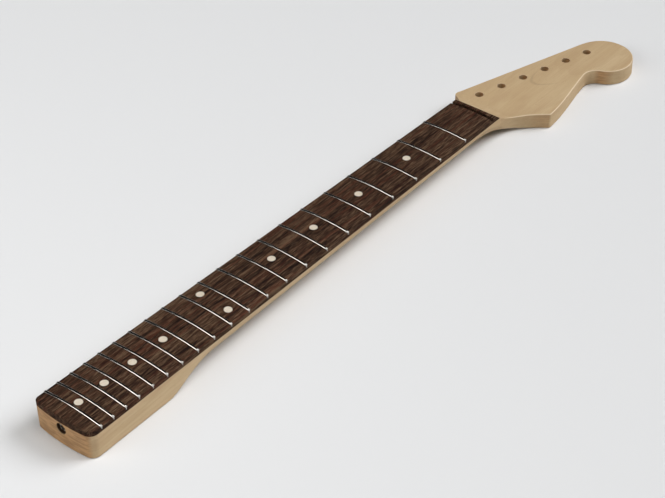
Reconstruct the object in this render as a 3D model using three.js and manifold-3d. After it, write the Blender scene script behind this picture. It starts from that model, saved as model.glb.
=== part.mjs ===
// Bolt-on electric guitar neck with a rosewood board and six tuner holes in line, in millimetres.
// The origin is on the flat back of the heel, at the middle of its four screw holes.
// +X runs along the neck to the headstock, +Y to the bass side and +Z out of the fingerboard.
import * as THREE from 'three';
import { mergeVertices } from 'three/addons/utils/BufferGeometryUtils.js';
import Module from 'manifold-3d';

const wasm = await Module();
wasm.setup();

// Playing length: each fret divides the rest of the string by the same ratio, and twelve halve it
const scaleLength = 647.7;
const fretCount = 21;
const fretsPerOctave = 12;

// Neck in plan
const nutWidth = 42;
const heelWidth = 56.2;
const pastLastFret = 12.4;
const heelBowRadius = 165;
const trebleCornerRadius = 7.2;
const bassCornerRadius = 4.5;

// Screw pattern in the heel, whose middle is the origin
const heelEndToSeat = 38.1;
const screwSpacingAlong = 50.8;
const screwSpacingAcross = 38.1;
const screwPilotDiameter = 3.2;
const screwPilotDepth = 17;

// Neck in side view
const heelThickness = 20.4;
const boardThickness = 6;
const boardRadius = 184.15;
const depthAtNut = 20.8;
const depthAtOctave = 23.25;
const heelFlatLength = 79;
const rampLength = 48;
const rampPower = 1.2;
const bellyPowerAtNut = 1.9;
const bellyPowerAtHeel = 2.15;
const edgeRound = 0.8;
const boardEdgeRoll = 0.8;

// Empty nut slot, the shelf behind it and the scoop down to the headstock face
const nutSlotWidth = 3.2;
const nutSlotDepth = 3.6;
const shelfWidth = 2.8;
const scoopRadius = 40.4;

// Headstock slab and its carved join to the round shaft
const headThickness = 14;
const faceEdgeRound = 1.2;
const backCarveLead = 20;
const backCarveLength = 70;
const keelCarveLead = 2;
const keelCarveLength = 44;

// Headstock outline, along the neck from the nut front and across it from the centre line
const ballReach = 156.3;
const ballOffset = 30.4;
const ballRadius = 26.15;
const lobeRadius = 22.5;
const shoulderRadius = 41.7;
const notchRadius = 12.6;
const hornReach = 51.2;
const hornOffset = 44.9;
const hornRadius = 1.8;
const hipReach = 30.5;
const hipRadius = 7;
const edgeAngle = THREE.MathUtils.degToRad(17.2);
const shoulderAngle = THREE.MathUtils.degToRad(56);
const lobeAngle = THREE.MathUtils.degToRad(-93);
const notchJoinAngle = THREE.MathUtils.degToRad(200);
const notchStartAngle = THREE.MathUtils.degToRad(100);
const hornEntryAngle = THREE.MathUtils.degToRad(-145);
const hornExitAngle = THREE.MathUtils.degToRad(-84);
const hipEntryAngle = THREE.MathUtils.degToRad(147);
// Handles of the three free curves, as shares of each curve's own run along and across the neck
const trebleFlareShares = [[0.29, 0], [0.59, 0.13]];
const hornSlopeShares = [[0.34, 0.1], [0.66, 0.7]];
const bassFlareShares = [[0.25, 0.17], [0.76, 0.66]];

// Tuner holes on a slanting line
const tunerCount = 6;
const tunerDiameter = 7.4;
const tunerPitch = 23.7;
const firstTunerReach = 39.6;
const firstTunerOffset = 19.3;
const tunerLineAngle = THREE.MathUtils.degToRad(-17.05);

// Fret wire
const fretCrownWidth = 2.1;
const fretCrownHeight = 1.05;
const fretLip = 0.15;
const tangThickness = 0.55;
const tangDepth = 1.9;
const fretBevel = THREE.MathUtils.degToRad(33);
const fretSeatGap = 0.05;
const tangSideGap = 0.02;

// Position dots in the face and side dots in the bass edge of the board
const dotDiameter = 6.35;
const dotDepth = 2;
const dotGap = 0.08;
const doubleDotOffset = 13.8;
const sideDotDiameter = 2;
const sideDotDepth = 3;
const sideDotHeight = 2;
const sideDoubleSpacing = 8;
const singleDotFrets = [3, 5, 7, 9, 15, 17, 19, 21];
const doubleDotFret = 12;

// Truss rod and its fittings in the curved channel under the board
const rodDiameter = 4.8;
const rodEndDepth = 5.4;
const rodSag = 3.6;
const rodStraight = 26;
const rodGap = 0.4;
const channelWidth = 5.8;
const filletGap = 0.1;
const accessDiameter = 9.2;
const trussNutDiameter = 7.6;
const trussNutLength = 12;
const trussNutRecess = 1.6;
const trussNutNose = 1;
const trussNutBoreGap = 0.15;
const trussNutWall = 4.6;
const crossSlotWidth = 1.5;
const crossSlotDepth = 2.6;
const runningGap = 0.1;
const washerThickness = 1.2;
const washerGap = 0.3;
const anchorLength = 8;
const anchorWidth = 12;
const anchorHeight = 8.5;
const anchorToNut = 8;
const anchorGap = 0.3;

// Cuts run past the faces they open by this much
const overrun = 2;

// Facets
const cornerSteps = 7;
const bellySteps = 6;
const roundSteps = 2;
const crownSteps = 8;
const fretSteps = 8;
const domeSteps = 4;
const holeSides = 20;
const smallSides = 12;
const channelSteps = 16;
const rodSteps = 22;
const stationGap = 0.9;
const weldDistance = 1e-4;

// Places that follow from the sizes above
const heelEndX = -heelEndToSeat;
const nutToLastFret = scaleLength * (1 - 2 ** (-fretCount / fretsPerOctave));
const nutToHeelEnd = nutToLastFret + pastLastFret;
const nutX = heelEndX + nutToHeelEnd;
const glueZ = heelThickness;
const crownZ = glueZ + boardThickness;
const faceZ = headThickness;
const shelfEndX = nutX + nutSlotWidth + shelfWidth;
const scoopEndX = shelfEndX + Math.sqrt(scoopRadius ** 2 - (scoopRadius - crownZ + faceZ) ** 2);
const boardTailX = scoopEndX - Math.sqrt(scoopRadius ** 2 - (scoopRadius - glueZ + faceZ) ** 2);
const taperSlope = (heelWidth - nutWidth) / 2 / nutToHeelEnd;
const rampStartX = heelEndX + heelFlatLength;
const rampEndX = rampStartX + rampLength;
const fretX = (number) => nutX - scaleLength * (1 - 2 ** (-number / fretsPerOctave));
const betweenFrets = (number) => (fretX(number) + fretX(number - 1)) / 2;
const halfWidthAt = (x) => nutWidth / 2 + (nutX - x) * taperSlope;
const crownAt = (y) => crownZ - boardRadius + Math.sqrt(boardRadius ** 2 - y ** 2);
const mix = THREE.MathUtils.lerp;
const ease = (x, start, length) => THREE.MathUtils.smoothstep(x, start, start + length);

// Closed solids from geometries, and geometries from closed solids

function solidOf(geometry) {
  const bare = new THREE.BufferGeometry();
  bare.setAttribute('position', geometry.getAttribute('position'));
  bare.setIndex(geometry.getIndex());
  const welded = mergeVertices(bare, weldDistance);
  const corners = welded.getIndex().array;
  const kept = [];
  for (let i = 0; i < corners.length; i += 3) {
    const [a, b, c] = [corners[i], corners[i + 1], corners[i + 2]];
    if (a !== b && b !== c && c !== a) kept.push(a, b, c);
  }
  const vertProperties = new Float32Array(welded.getAttribute('position').array);
  const triVerts = Uint32Array.from(kept);
  return new wasm.Manifold(new wasm.Mesh({ numProp: 3, vertProperties, triVerts }));
}

function geometryOf(solid) {
  const mesh = solid.getMesh();
  const geometry = new THREE.BufferGeometry();
  geometry.setAttribute('position', new THREE.BufferAttribute(mesh.vertProperties, 3));
  geometry.setIndex(new THREE.BufferAttribute(mesh.triVerts, 1));
  geometry.computeVertexNormals();
  return geometry;
}

// Skin over a row of rings of equal count. Each cap is a list of ring places that close both ends.
function loft(rings, caps = []) {
  const count = rings[0].length;
  const corners = [];
  for (let i = 0; i + 1 < rings.length; i += 1) {
    for (let j = 0; j < count; j += 1) {
      const k = (j + 1) % count;
      const here = i * count;
      const next = here + count;
      corners.push(here + j, next + k, next + j);
      corners.push(here + j, here + k, next + k);
    }
  }
  const last = (rings.length - 1) * count;
  for (const { places, outline } of caps) {
    for (const [a, b, c] of THREE.ShapeUtils.triangulateShape(outline, [])) {
      corners.push(places[a], places[c], places[b]);
      corners.push(last + places[a], last + places[b], last + places[c]);
    }
  }
  const geometry = new THREE.BufferGeometry().setFromPoints(rings.flat());
  geometry.setIndex(corners);
  return geometry;
}

function cylinder(radius, length, sides) {
  return new THREE.CylinderGeometry(radius, radius, length, sides);
}

function uprightCylinder(x, y, bottom, top, radius, sides) {
  const geometry = cylinder(radius, top - bottom, sides).rotateX(Math.PI / 2);
  return geometry.translate(x, y, (bottom + top) / 2);
}

function box(x0, x1, y0, y1, z0, z1) {
  const geometry = new THREE.BoxGeometry(x1 - x0, y1 - y0, z1 - z0);
  return geometry.translate((x0 + x1) / 2, (y0 + y1) / 2, (z0 + z1) / 2);
}

// Solid with a side-view outline in X and Z, spread evenly about the centre plane
function sideExtrusion(outline, width) {
  const geometry = new THREE.ExtrudeGeometry(new THREE.Shape(outline), { depth: width, bevelEnabled: false });
  return geometry.rotateX(Math.PI / 2).translate(0, width / 2, 0);
}

// Revolved solid whose axis runs along X, from a profile of distance from the axis and place along it
function turned(profile, sides) {
  return new THREE.LatheGeometry(profile, sides).rotateZ(-Math.PI / 2);
}

// Plan outline of each side, from the middle of the heel end to the tip of the headstock

function heelCorner(radius) {
  const inset = heelWidth / 2 - radius * Math.hypot(1, taperSlope);
  const square = 1 + taperSlope ** 2;
  const half = heelBowRadius + inset * taperSlope;
  const rest = heelBowRadius ** 2 + inset ** 2 - (heelBowRadius - radius) ** 2;
  const along = (half - Math.sqrt(half ** 2 - square * rest)) / square;
  const across = inset - taperSlope * along;
  return { along, across, angle: Math.atan2(across, along - heelBowRadius) };
}

function heelPath(side) {
  const radius = side > 0 ? bassCornerRadius : trebleCornerRadius;
  const { along, across, angle } = heelCorner(radius);
  const squareAngle = Math.PI / 2 - Math.atan(taperSlope);
  const clockwise = side > 0;
  const path = new THREE.Path();
  path.absarc(heelEndX + heelBowRadius, 0, heelBowRadius, side * Math.PI, side * angle, clockwise);
  path.absarc(heelEndX + along, side * across, radius, side * angle, side * squareAngle, clockwise);
  path.lineTo(boardTailX, side * halfWidthAt(boardTailX));
  return path;
}

function onCircle(centre, radius, angle) {
  return new THREE.Vector2(centre.x + radius * Math.cos(angle), centre.y + radius * Math.sin(angle));
}

function freeCurve(path, shares, end) {
  const start = path.currentPoint.clone();
  const [first, second] = shares.map(([along, across]) =>
    new THREE.Vector2(mix(start.x, end.x, along), mix(start.y, end.y, across)));
  path.bezierCurveTo(first.x, first.y, second.x, second.y, end.x, end.y);
}

const ballCentre = new THREE.Vector2(nutX + ballReach, -ballOffset);
const lobeCentre = onCircle(ballCentre, ballRadius - lobeRadius, lobeAngle);
const notchCentre = onCircle(lobeCentre, lobeRadius + notchRadius, notchJoinAngle);

function treblePath() {
  const path = heelPath(-1);
  const hornEntry = new THREE.Vector2(nutX + hornReach, -hornOffset);
  const hornCentre = onCircle(hornEntry, hornRadius, hornEntryAngle + Math.PI);
  freeCurve(path, trebleFlareShares, hornEntry);
  path.absarc(hornCentre.x, hornCentre.y, hornRadius, hornEntryAngle, hornExitAngle, false);
  freeCurve(path, hornSlopeShares, onCircle(notchCentre, notchRadius, notchStartAngle));
  const notchEnd = notchJoinAngle - Math.PI;
  path.absarc(notchCentre.x, notchCentre.y, notchRadius, notchStartAngle, notchEnd, true);
  const lobeStart = notchJoinAngle - 2 * Math.PI;
  path.absarc(lobeCentre.x, lobeCentre.y, lobeRadius, lobeStart, lobeAngle, false);
  path.absarc(ballCentre.x, ballCentre.y, ballRadius, lobeAngle, 0, false);
  return path;
}

function bassPath() {
  const path = heelPath(1);
  const squareAngle = Math.PI / 2 - edgeAngle;
  const shoulderCentre = onCircle(ballCentre, ballRadius - shoulderRadius, shoulderAngle);
  const edgeEnd = onCircle(shoulderCentre, shoulderRadius - hipRadius, squareAngle);
  const hipX = nutX + hipReach;
  const hipY = edgeEnd.y + (edgeEnd.x - hipX) * Math.tan(edgeAngle);
  const hipCentre = new THREE.Vector2(hipX, hipY);
  freeCurve(path, bassFlareShares, onCircle(hipCentre, hipRadius, hipEntryAngle));
  path.absarc(hipX, hipY, hipRadius, hipEntryAngle, squareAngle, true);
  path.absarc(shoulderCentre.x, shoulderCentre.y, shoulderRadius, squareAngle, shoulderAngle, true);
  path.absarc(ballCentre.x, ballCentre.y, ballRadius, shoulderAngle, 0, true);
  return path;
}

const sides = [{ sign: -1, path: treblePath() }, { sign: 1, path: bassPath() }];

// Place on one side's outline at a distance along the neck, with its square direction into the wood
function edgeAt(side, x) {
  let low = 0;
  let high = 1;
  for (let i = 0; i < 50; i += 1) {
    const middle = (low + high) / 2;
    if (side.path.getPoint(middle).x < x) low = middle;
    else high = middle;
  }
  const place = side.path.getPoint(high);
  const tangent = side.path.getTangent(high);
  return { x: place.x, y: place.y, inX: side.sign * tangent.y, inY: -side.sign * tangent.x };
}

const heelTip = { x: heelEndX, y: 0, inX: 1, inY: 0 };
const headTip = { x: ballCentre.x + ballRadius, y: ballCentre.y, inX: -1, inY: 0 };

// Ordered distances along the neck at which the skin is measured, none closer than the station gap
function stationsBetween(start, end, wanted, fixed) {
  const all = [...wanted.map((x) => ({ x, keep: false })), ...fixed.map((x) => ({ x, keep: true }))];
  const inside = all.filter(({ x }) => x > start + stationGap && x < end - stationGap);
  inside.sort((a, b) => a.x - b.x);
  const kept = [];
  for (const station of inside) {
    const before = kept[kept.length - 1];
    if (!before || station.x - before.x > stationGap) kept.push(station);
    else if (station.keep) kept[kept.length - 1] = station;
  }
  return kept.map(({ x }) => x);
}

function steps(start, length, count) {
  return Array.from({ length: count + 1 }, (_, i) => start + length * i / count);
}

const outlineX = sides.flatMap(({ path }) => path.getPoints(cornerSteps)).map(({ x }) => x);

// Heights and carving of the maple along the neck

function topAt(x) {
  if (x <= boardTailX) return glueZ;
  if (x >= scoopEndX) return faceZ;
  return faceZ + scoopRadius - Math.sqrt(scoopRadius ** 2 - (scoopEndX - x) ** 2);
}

function backAt(x) {
  const octaveShare = (nutX - x) / (nutX - fretX(fretsPerOctave));
  const shaft = crownZ - mix(depthAtNut, depthAtOctave, octaveShare);
  return shaft * ease(x, rampStartX, rampLength) * (1 - ease(x, nutX - keelCarveLead, keelCarveLength));
}

// One on the fully rounded shaft and zero where the section is square
function carveAt(x) {
  const ramp = THREE.MathUtils.clamp((x - rampStartX) / rampLength, 0, 1);
  const heel = Math.sin(ramp * Math.PI / 2) ** rampPower;
  return heel * (1 - ease(x, nutX - backCarveLead, backCarveLength));
}

function maplePoints(edge) {
  const { x, y, inX, inY } = edge;
  const points = [];
  const top = topAt(x);
  const faceRound = faceEdgeRound * ease(x, boardTailX, scoopEndX - boardTailX);
  for (let i = 0; i <= roundSteps; i += 1) {
    const turn = i / roundSteps * Math.PI / 2;
    const inset = faceRound * (1 - Math.sin(turn));
    const px = x + inX * inset;
    points.push(new THREE.Vector3(px, y + inY * inset, topAt(px) - faceRound * (1 - Math.cos(turn))));
  }
  const carve = carveAt(x);
  const power = 2 / mix(bellyPowerAtNut, bellyPowerAtHeel, (nutX - x) / nutToHeelEnd);
  const squareness = THREE.MathUtils.clamp(carve * 2, 0, 1);
  const towards = new THREE.Vector2(inX * (1 - squareness), inY * (1 - squareness) - Math.sign(y) * squareness);
  towards.normalize();
  const inset = carve > 0 ? mix(edgeRound, Math.abs(y), carve) : edgeRound;
  const rise = mix(edgeRound, top - faceRound - backAt(x), carve);
  for (let i = 0; i <= bellySteps; i += 1) {
    const turn = i / bellySteps * Math.PI / 2;
    const across = i === bellySteps ? inset : inset * (1 - Math.cos(turn) ** power);
    const px = x + towards.x * across;
    const drop = i === bellySteps ? 0 : rise * (1 - Math.sin(turn) ** power);
    points.push(new THREE.Vector3(px, y + towards.y * across, backAt(px) + drop));
  }
  return points;
}

function mapleSkin() {
  const fixed = [
    ...steps(rampStartX, rampLength, 9),
    ...steps(rampEndX, nutX - backCarveLead - rampEndX, 5),
    ...steps(nutX - backCarveLead, boardTailX - nutX + backCarveLead, 9),
    ...steps(boardTailX, scoopEndX - boardTailX, 7),
    ...steps(scoopEndX, nutX - backCarveLead + backCarveLength - scoopEndX, 3),
  ];
  const rings = [[...maplePoints(heelTip), ...maplePoints(heelTip).reverse()]];
  for (const x of stationsBetween(heelTip.x, headTip.x, outlineX, fixed)) {
    const [treble, bass] = sides.map((side) => maplePoints(edgeAt(side, x)));
    rings.push([...treble, ...bass.reverse()]);
  }
  rings.push([...maplePoints(headTip), ...maplePoints(headTip).reverse()]);
  return loft(rings);
}

// Truss rod line: straight at both ends, and lower in the middle of the neck

const rodZ = glueZ - rodEndDepth;
const accessDepth = trussNutRecess + trussNutLength + runningGap + washerThickness;
const anchorX = nutX - anchorToNut - anchorLength;
const rodStartX = heelEndX + trussNutRecess + trussNutWall;
const rodEndX = anchorX + anchorLength;

class RodLine extends THREE.Curve {
  constructor(startX, endX, offset) {
    super();
    this.startX = startX;
    this.endX = endX;
    this.offset = offset;
  }

  getPoint(share, target = new THREE.Vector3()) {
    const x = mix(this.startX, this.endX, share);
    const curved = (x - rodStartX - rodStraight) / (rodEndX - rodStartX - 2 * rodStraight);
    const sagShare = (1 - Math.cos(2 * Math.PI * THREE.MathUtils.clamp(curved, 0, 1))) / 2;
    return target.set(x, 0, rodZ - rodSag * sagShare + this.offset);
  }
}

function rodSidePoints(startX, endX, offset, count) {
  return new RodLine(startX, endX, offset).getPoints(count).map(({ x, z }) => new THREE.Vector2(x, z));
}

function channelCut() {
  const floor = -rodDiameter / 2 - rodGap;
  const bottom = rodSidePoints(heelEndX + accessDepth, anchorX + anchorLength, floor, channelSteps);
  const [start, end] = [bottom[0].x, bottom[bottom.length - 1].x];
  bottom.push(new THREE.Vector2(end, glueZ + overrun), new THREE.Vector2(start, glueZ + overrun));
  return sideExtrusion(bottom, channelWidth);
}

function accessCut() {
  const length = accessDepth + overrun;
  const geometry = cylinder(accessDiameter / 2, length, holeSides).rotateZ(Math.PI / 2);
  return geometry.translate(heelEndX - overrun + length / 2, 0, rodZ);
}

function anchorCut() {
  const halfWidth = anchorWidth / 2 + anchorGap;
  const bottom = rodZ - anchorHeight / 2 - anchorGap;
  return box(anchorX, anchorX + anchorLength + anchorGap, -halfWidth, halfWidth, bottom, glueZ + overrun);
}

function tunerCuts() {
  return Array.from({ length: tunerCount }, (_, i) => {
    const x = nutX + firstTunerReach + i * tunerPitch * Math.cos(tunerLineAngle);
    const y = firstTunerOffset + i * tunerPitch * Math.sin(tunerLineAngle);
    return uprightCylinder(x, y, -overrun, faceZ + overrun, tunerDiameter / 2, holeSides);
  });
}

function screwCuts() {
  const places = [-1, 1].flatMap((along) => [-1, 1].map((across) => [along, across]));
  return places.map(([along, across]) => {
    const x = along * screwSpacingAlong / 2;
    const y = across * screwSpacingAcross / 2;
    return uprightCylinder(x, y, -overrun, screwPilotDepth, screwPilotDiameter / 2, smallSides);
  });
}

function neckBlank() {
  const cuts = [channelCut(), accessCut(), anchorCut(), ...tunerCuts(), ...screwCuts()];
  return geometryOf(cuts.reduce((solid, cut) => solid.subtract(solidOf(cut)), solidOf(mapleSkin())));
}

// Fingerboard, crowned across and rolled at its edges

function boardRing(treble, bass) {
  const edge = ({ x, y, inX, inY }) => {
    const innerY = y + inY * boardEdgeRoll;
    const points = [new THREE.Vector3(x, y, glueZ)];
    for (let i = 0; i <= roundSteps; i += 1) {
      const turn = i / roundSteps * Math.PI / 2;
      const inset = boardEdgeRoll * (1 - Math.cos(turn));
      const z = crownAt(innerY) - boardEdgeRoll * (1 - Math.sin(turn));
      points.push(new THREE.Vector3(x + inX * inset, y + inY * inset, z));
    }
    return points;
  };
  const [up, down] = [edge(treble), edge(bass).reverse()];
  const [from, to] = [up[up.length - 1], down[0]];
  const across = [];
  for (let i = 1; i < crownSteps; i += 1) {
    const place = from.clone().lerp(to, i / crownSteps);
    across.push(place.setZ(crownAt(place.y)));
  }
  return [...up, ...across, ...down].reverse();
}

function boardSkin() {
  const tail = boardTailX + overrun;
  const wanted = outlineX.filter((x) => x < heelEndX + trebleCornerRadius * 2);
  const straight = (side, x) => ({ x, y: side.sign * halfWidthAt(x), inX: 0, inY: -side.sign });
  const rings = [boardRing(heelTip, heelTip)];
  for (const x of stationsBetween(heelTip.x, tail, wanted, [])) {
    rings.push(boardRing(...sides.map((side) => edgeAt(side, x))));
  }
  const last = boardRing(...sides.map((side) => straight(side, tail)));
  rings.push(last);
  const outline = last.map(({ y, z }) => new THREE.Vector2(y, z));
  const places = last.map((_, i) => i);
  return { rings, cap: { places, outline } };
}

function boardSolid() {
  const { rings, cap } = boardSkin();
  const count = rings[0].length;
  const geometry = loft(rings);
  const corners = [...geometry.getIndex().array];
  const last = (rings.length - 1) * count;
  for (const [a, b, c] of THREE.ShapeUtils.triangulateShape(cap.outline, [])) {
    corners.push(last + cap.places[a], last + cap.places[b], last + cap.places[c]);
  }
  geometry.setIndex(corners);
  return solidOf(geometry);
}

function scoopCut() {
  const start = Math.asin((scoopEndX - shelfEndX) / scoopRadius);
  const outline = [];
  for (let i = 0; i <= cornerSteps; i += 1) {
    const turn = start * (1 - i / cornerSteps);
    const x = scoopEndX - scoopRadius * Math.sin(turn);
    outline.push(new THREE.Vector2(x, faceZ + scoopRadius * (1 - Math.cos(turn))));
  }
  outline.push(new THREE.Vector2(scoopEndX, crownZ + overrun), new THREE.Vector2(shelfEndX, crownZ + overrun));
  return sideExtrusion(outline, nutWidth + 2 * overrun);
}

function nutSlotCut() {
  const halfWidth = nutWidth / 2 + overrun;
  const floor = crownZ - nutSlotDepth;
  return box(nutX, nutX + nutSlotWidth, -halfWidth, halfWidth, floor, crownZ + overrun);
}

function fretSlotCut(x) {
  const half = halfWidthAt(x) + overrun;
  const reach = tangThickness / 2 + tangSideGap;
  const rings = steps(-half, 2 * half, fretSteps).map((y) => {
    const floor = crownAt(y) - tangDepth - fretSeatGap;
    return [
      new THREE.Vector3(x - reach, y, floor),
      new THREE.Vector3(x + reach, y, floor),
      new THREE.Vector3(x + reach, y, crownZ + overrun),
      new THREE.Vector3(x - reach, y, crownZ + overrun),
    ];
  });
  const outline = [[-1, -1], [1, -1], [1, 1], [-1, 1]].map(([u, v]) => new THREE.Vector2(u, v));
  return loft(rings.reverse(), [{ places: [0, 1, 2, 3], outline }]);
}

function fingerboard(dots, sideDots) {
  const frets = Array.from({ length: fretCount }, (_, i) => fretSlotCut(fretX(i + 1)));
  const pockets = dots.map(({ x, y }) =>
    uprightCylinder(x, y, dotFloor(y) - dotGap, crownZ + overrun, dotDiameter / 2 + dotGap, holeSides));
  const sidePockets = sideDots.map(({ x }) => {
    const length = sideDotDepth + overrun + dotGap;
    const geometry = cylinder(sideDotDiameter / 2 + dotGap, length, smallSides);
    return geometry.translate(x, halfWidthAt(x) + overrun - length / 2, glueZ + sideDotHeight);
  });
  const cuts = [scoopCut(), nutSlotCut(), ...frets, ...pockets, ...sidePockets];
  return geometryOf(cuts.reduce((solid, cut) => solid.subtract(solidOf(cut)), boardSolid()));
}

// Fret: a domed crown on a thin tang, bent to the board and bevelled at both ends

function fret(number) {
  const x = fretX(number);
  const dome = steps(0, Math.PI, domeSteps).map((turn) =>
    [fretCrownWidth / 2 * Math.cos(turn), fretLip + (fretCrownHeight - fretLip) * Math.sin(turn)]);
  const tang = [[-1, 1], [-1, 0], [1, 0], [1, 1]];
  const foot = [
    [-tangThickness / 2, 0],
    [-tangThickness / 2, -tangDepth],
    [tangThickness / 2, -tangDepth],
    [tangThickness / 2, 0],
  ];
  const section = [...foot, [fretCrownWidth / 2, 0], ...dome, [-fretCrownWidth / 2, 0]];
  const rings = steps(-1, 2, fretSteps).map((share) => section.map(([along, height]) => {
    const half = halfWidthAt(x + along) - Math.max(height, 0) * Math.tan(fretBevel);
    const y = share * half;
    return new THREE.Vector3(x + along, y, crownAt(y) + fretSeatGap + height);
  }));
  const flat = section.map(([along, height]) => new THREE.Vector2(along, height));
  const crownPlaces = [0, 3, ...flat.keys()].filter((place, i) => i < 2 || place > 3);
  const caps = [[0, 1, 2, 3], crownPlaces].map((places) => ({ places, outline: places.map((i) => flat[i]) }));
  return geometryOf(solidOf(loft(rings.reverse(), caps)));
}

// Inlaid dots

const dotFloor = (y) => crownAt(y) - dotDepth;

function dotPlaces() {
  const singles = singleDotFrets.filter((number) => number <= fretCount);
  const places = singles.map((number) => ({ name: String(number).padStart(2, '0'), x: betweenFrets(number), y: 0 }));
  const x = betweenFrets(doubleDotFret);
  for (const [name, sign] of [['treble', -1], ['bass', 1]]) {
    places.push({ name: `${doubleDotFret}_${name}`, x, y: sign * doubleDotOffset });
  }
  return places;
}

function sideDotPlaces() {
  const singles = singleDotFrets.filter((number) => number <= fretCount);
  const places = singles.map((number) => ({ name: String(number).padStart(2, '0'), x: betweenFrets(number) }));
  for (const [name, sign] of [['heelward', -1], ['nutward', 1]]) {
    places.push({ name: `${doubleDotFret}_${name}`, x: betweenFrets(doubleDotFret) + sign * sideDoubleSpacing / 2 });
  }
  return places;
}

// Disc sanded flush with the crowned board
function positionDot({ x, y }) {
  const geometry = uprightCylinder(x, y, dotFloor(y), crownZ, dotDiameter / 2, holeSides);
  const places = geometry.getAttribute('position');
  for (let i = 0; i < places.count; i += 1) {
    const raised = places.getZ(i) > dotFloor(y) + dotDepth / 2;
    places.setZ(i, raised ? crownAt(places.getY(i)) : dotFloor(y));
  }
  return geometryOf(solidOf(geometry));
}

function sideDot({ x }) {
  const geometry = cylinder(sideDotDiameter / 2, sideDotDepth, smallSides);
  return geometry.translate(x, halfWidthAt(x) - sideDotDepth / 2, glueZ + sideDotHeight);
}

// Truss rod fittings

function rodSection(radius, sides) {
  const angles = steps(0, 2 * Math.PI, sides).slice(0, sides);
  return new THREE.Shape(angles.map((turn) => onCircle({ x: 0, y: 0 }, radius, turn)));
}

function trussRod() {
  const line = new RodLine(rodStartX, rodEndX, 0);
  const options = { steps: rodSteps, extrudePath: line, bevelEnabled: false };
  return new THREE.ExtrudeGeometry(rodSection(rodDiameter / 2, smallSides), options);
}

function trussNut() {
  const face = heelEndX + trussNutRecess;
  const inner = face + trussNutLength;
  const bore = rodDiameter / 2 + trussNutBoreGap;
  const boreEnd = rodStartX - runningGap;
  const outer = trussNutDiameter / 2;
  const profile = [
    [0, face],
    [outer - trussNutNose, face],
    [outer, face + trussNutNose],
    [outer, inner],
    [bore, inner],
    [bore, boreEnd],
    [0, boreEnd],
  ].map(([radius, along]) => new THREE.Vector2(radius, along));
  const body = solidOf(turned(profile, 2 * smallSides).translate(0, 0, rodZ));
  const slotEnd = face + crossSlotDepth;
  const [half, reach] = [crossSlotWidth / 2, outer + overrun];
  const upright = box(face - overrun, slotEnd, -half, half, rodZ - reach, rodZ + reach);
  const level = box(face - overrun, slotEnd, -reach, reach, rodZ - half, rodZ + half);
  return geometryOf(body.subtract(solidOf(upright)).subtract(solidOf(level)));
}

function trussWasher() {
  const inner = heelEndX + accessDepth;
  const outer = inner - washerThickness;
  const [hole, rim] = [rodDiameter / 2 + washerGap, accessDiameter / 2 - washerGap];
  const profile = [[hole, outer], [rim, outer], [rim, inner], [hole, inner], [hole, outer]];
  const points = profile.map(([radius, along]) => new THREE.Vector2(radius, along));
  return geometryOf(solidOf(turned(points, 2 * smallSides).translate(0, 0, rodZ)));
}

function trussAnchor() {
  const end = anchorX + anchorLength;
  const [half, rise] = [anchorWidth / 2, anchorHeight / 2];
  const body = solidOf(box(anchorX, end, -half, half, rodZ - rise, rodZ + rise));
  const bore = cylinder(rodDiameter / 2 + washerGap, anchorLength + 2 * overrun, 2 * smallSides);
  bore.rotateZ(Math.PI / 2).translate((anchorX + end) / 2, 0, rodZ);
  return geometryOf(body.subtract(solidOf(bore)));
}

function channelFillet() {
  const start = heelEndX + accessDepth + washerGap;
  const end = anchorX - anchorGap;
  const bottom = rodSidePoints(start, end, rodDiameter / 2 + rodGap, channelSteps);
  bottom.push(new THREE.Vector2(end, glueZ), new THREE.Vector2(start, glueZ));
  return sideExtrusion(bottom, channelWidth - 2 * filletGap);
}

// Materials and assembly

const finishes = {
  maple: { color: 0xcbb592, roughness: 0.62, metalness: 0 },
  rosewood: { color: 0x4a352c, roughness: 0.6, metalness: 0 },
  nickel: { color: 0xc9c7c2, roughness: 0.22, metalness: 1 },
  inlay: { color: 0xe6dfcd, roughness: 0.35, metalness: 0 },
  steel: { color: 0x77746e, roughness: 0.45, metalness: 1 },
};

const neck = new THREE.Group();

function add(name, geometry, finish) {
  const mesh = new THREE.Mesh(geometry, new THREE.MeshStandardMaterial(finishes[finish]));
  mesh.name = name;
  neck.add(mesh);
}

add('neck_blank', neckBlank(), 'maple');
add('fingerboard', fingerboard(dotPlaces(), sideDotPlaces()), 'rosewood');
for (let number = 1; number <= fretCount; number += 1) {
  add(`fret_${String(number).padStart(2, '0')}`, fret(number), 'nickel');
}
for (const place of dotPlaces()) add(`position_dot_${place.name}`, positionDot(place), 'inlay');
for (const place of sideDotPlaces()) add(`side_dot_${place.name}`, sideDot(place), 'inlay');
add('truss_rod', trussRod(), 'steel');
add('truss_rod_nut', trussNut(), 'steel');
add('truss_rod_washer', trussWasher(), 'steel');
add('truss_rod_anchor', trussAnchor(), 'steel');
add('channel_fillet', channelFillet(), 'maple');

export default neck;
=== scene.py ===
"""Looks of an unfinished electric guitar neck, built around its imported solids.

The maple blank, the rosewood board and the frets are rebuilt here as finer meshes of the same sizes.
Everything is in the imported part's frame: +X to the headstock, +Y to the bass side, +Z out of the board.
Sizes are kept in millimetres and meshes are made in metres.
"""

import logging
import math
from bisect import bisect_left
from dataclasses import dataclass, field
from enum import Enum
from typing import Callable, Iterable, Mapping, Sequence, TypeVar

import bmesh
import bpy
from mathutils import Matrix, Vector


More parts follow.
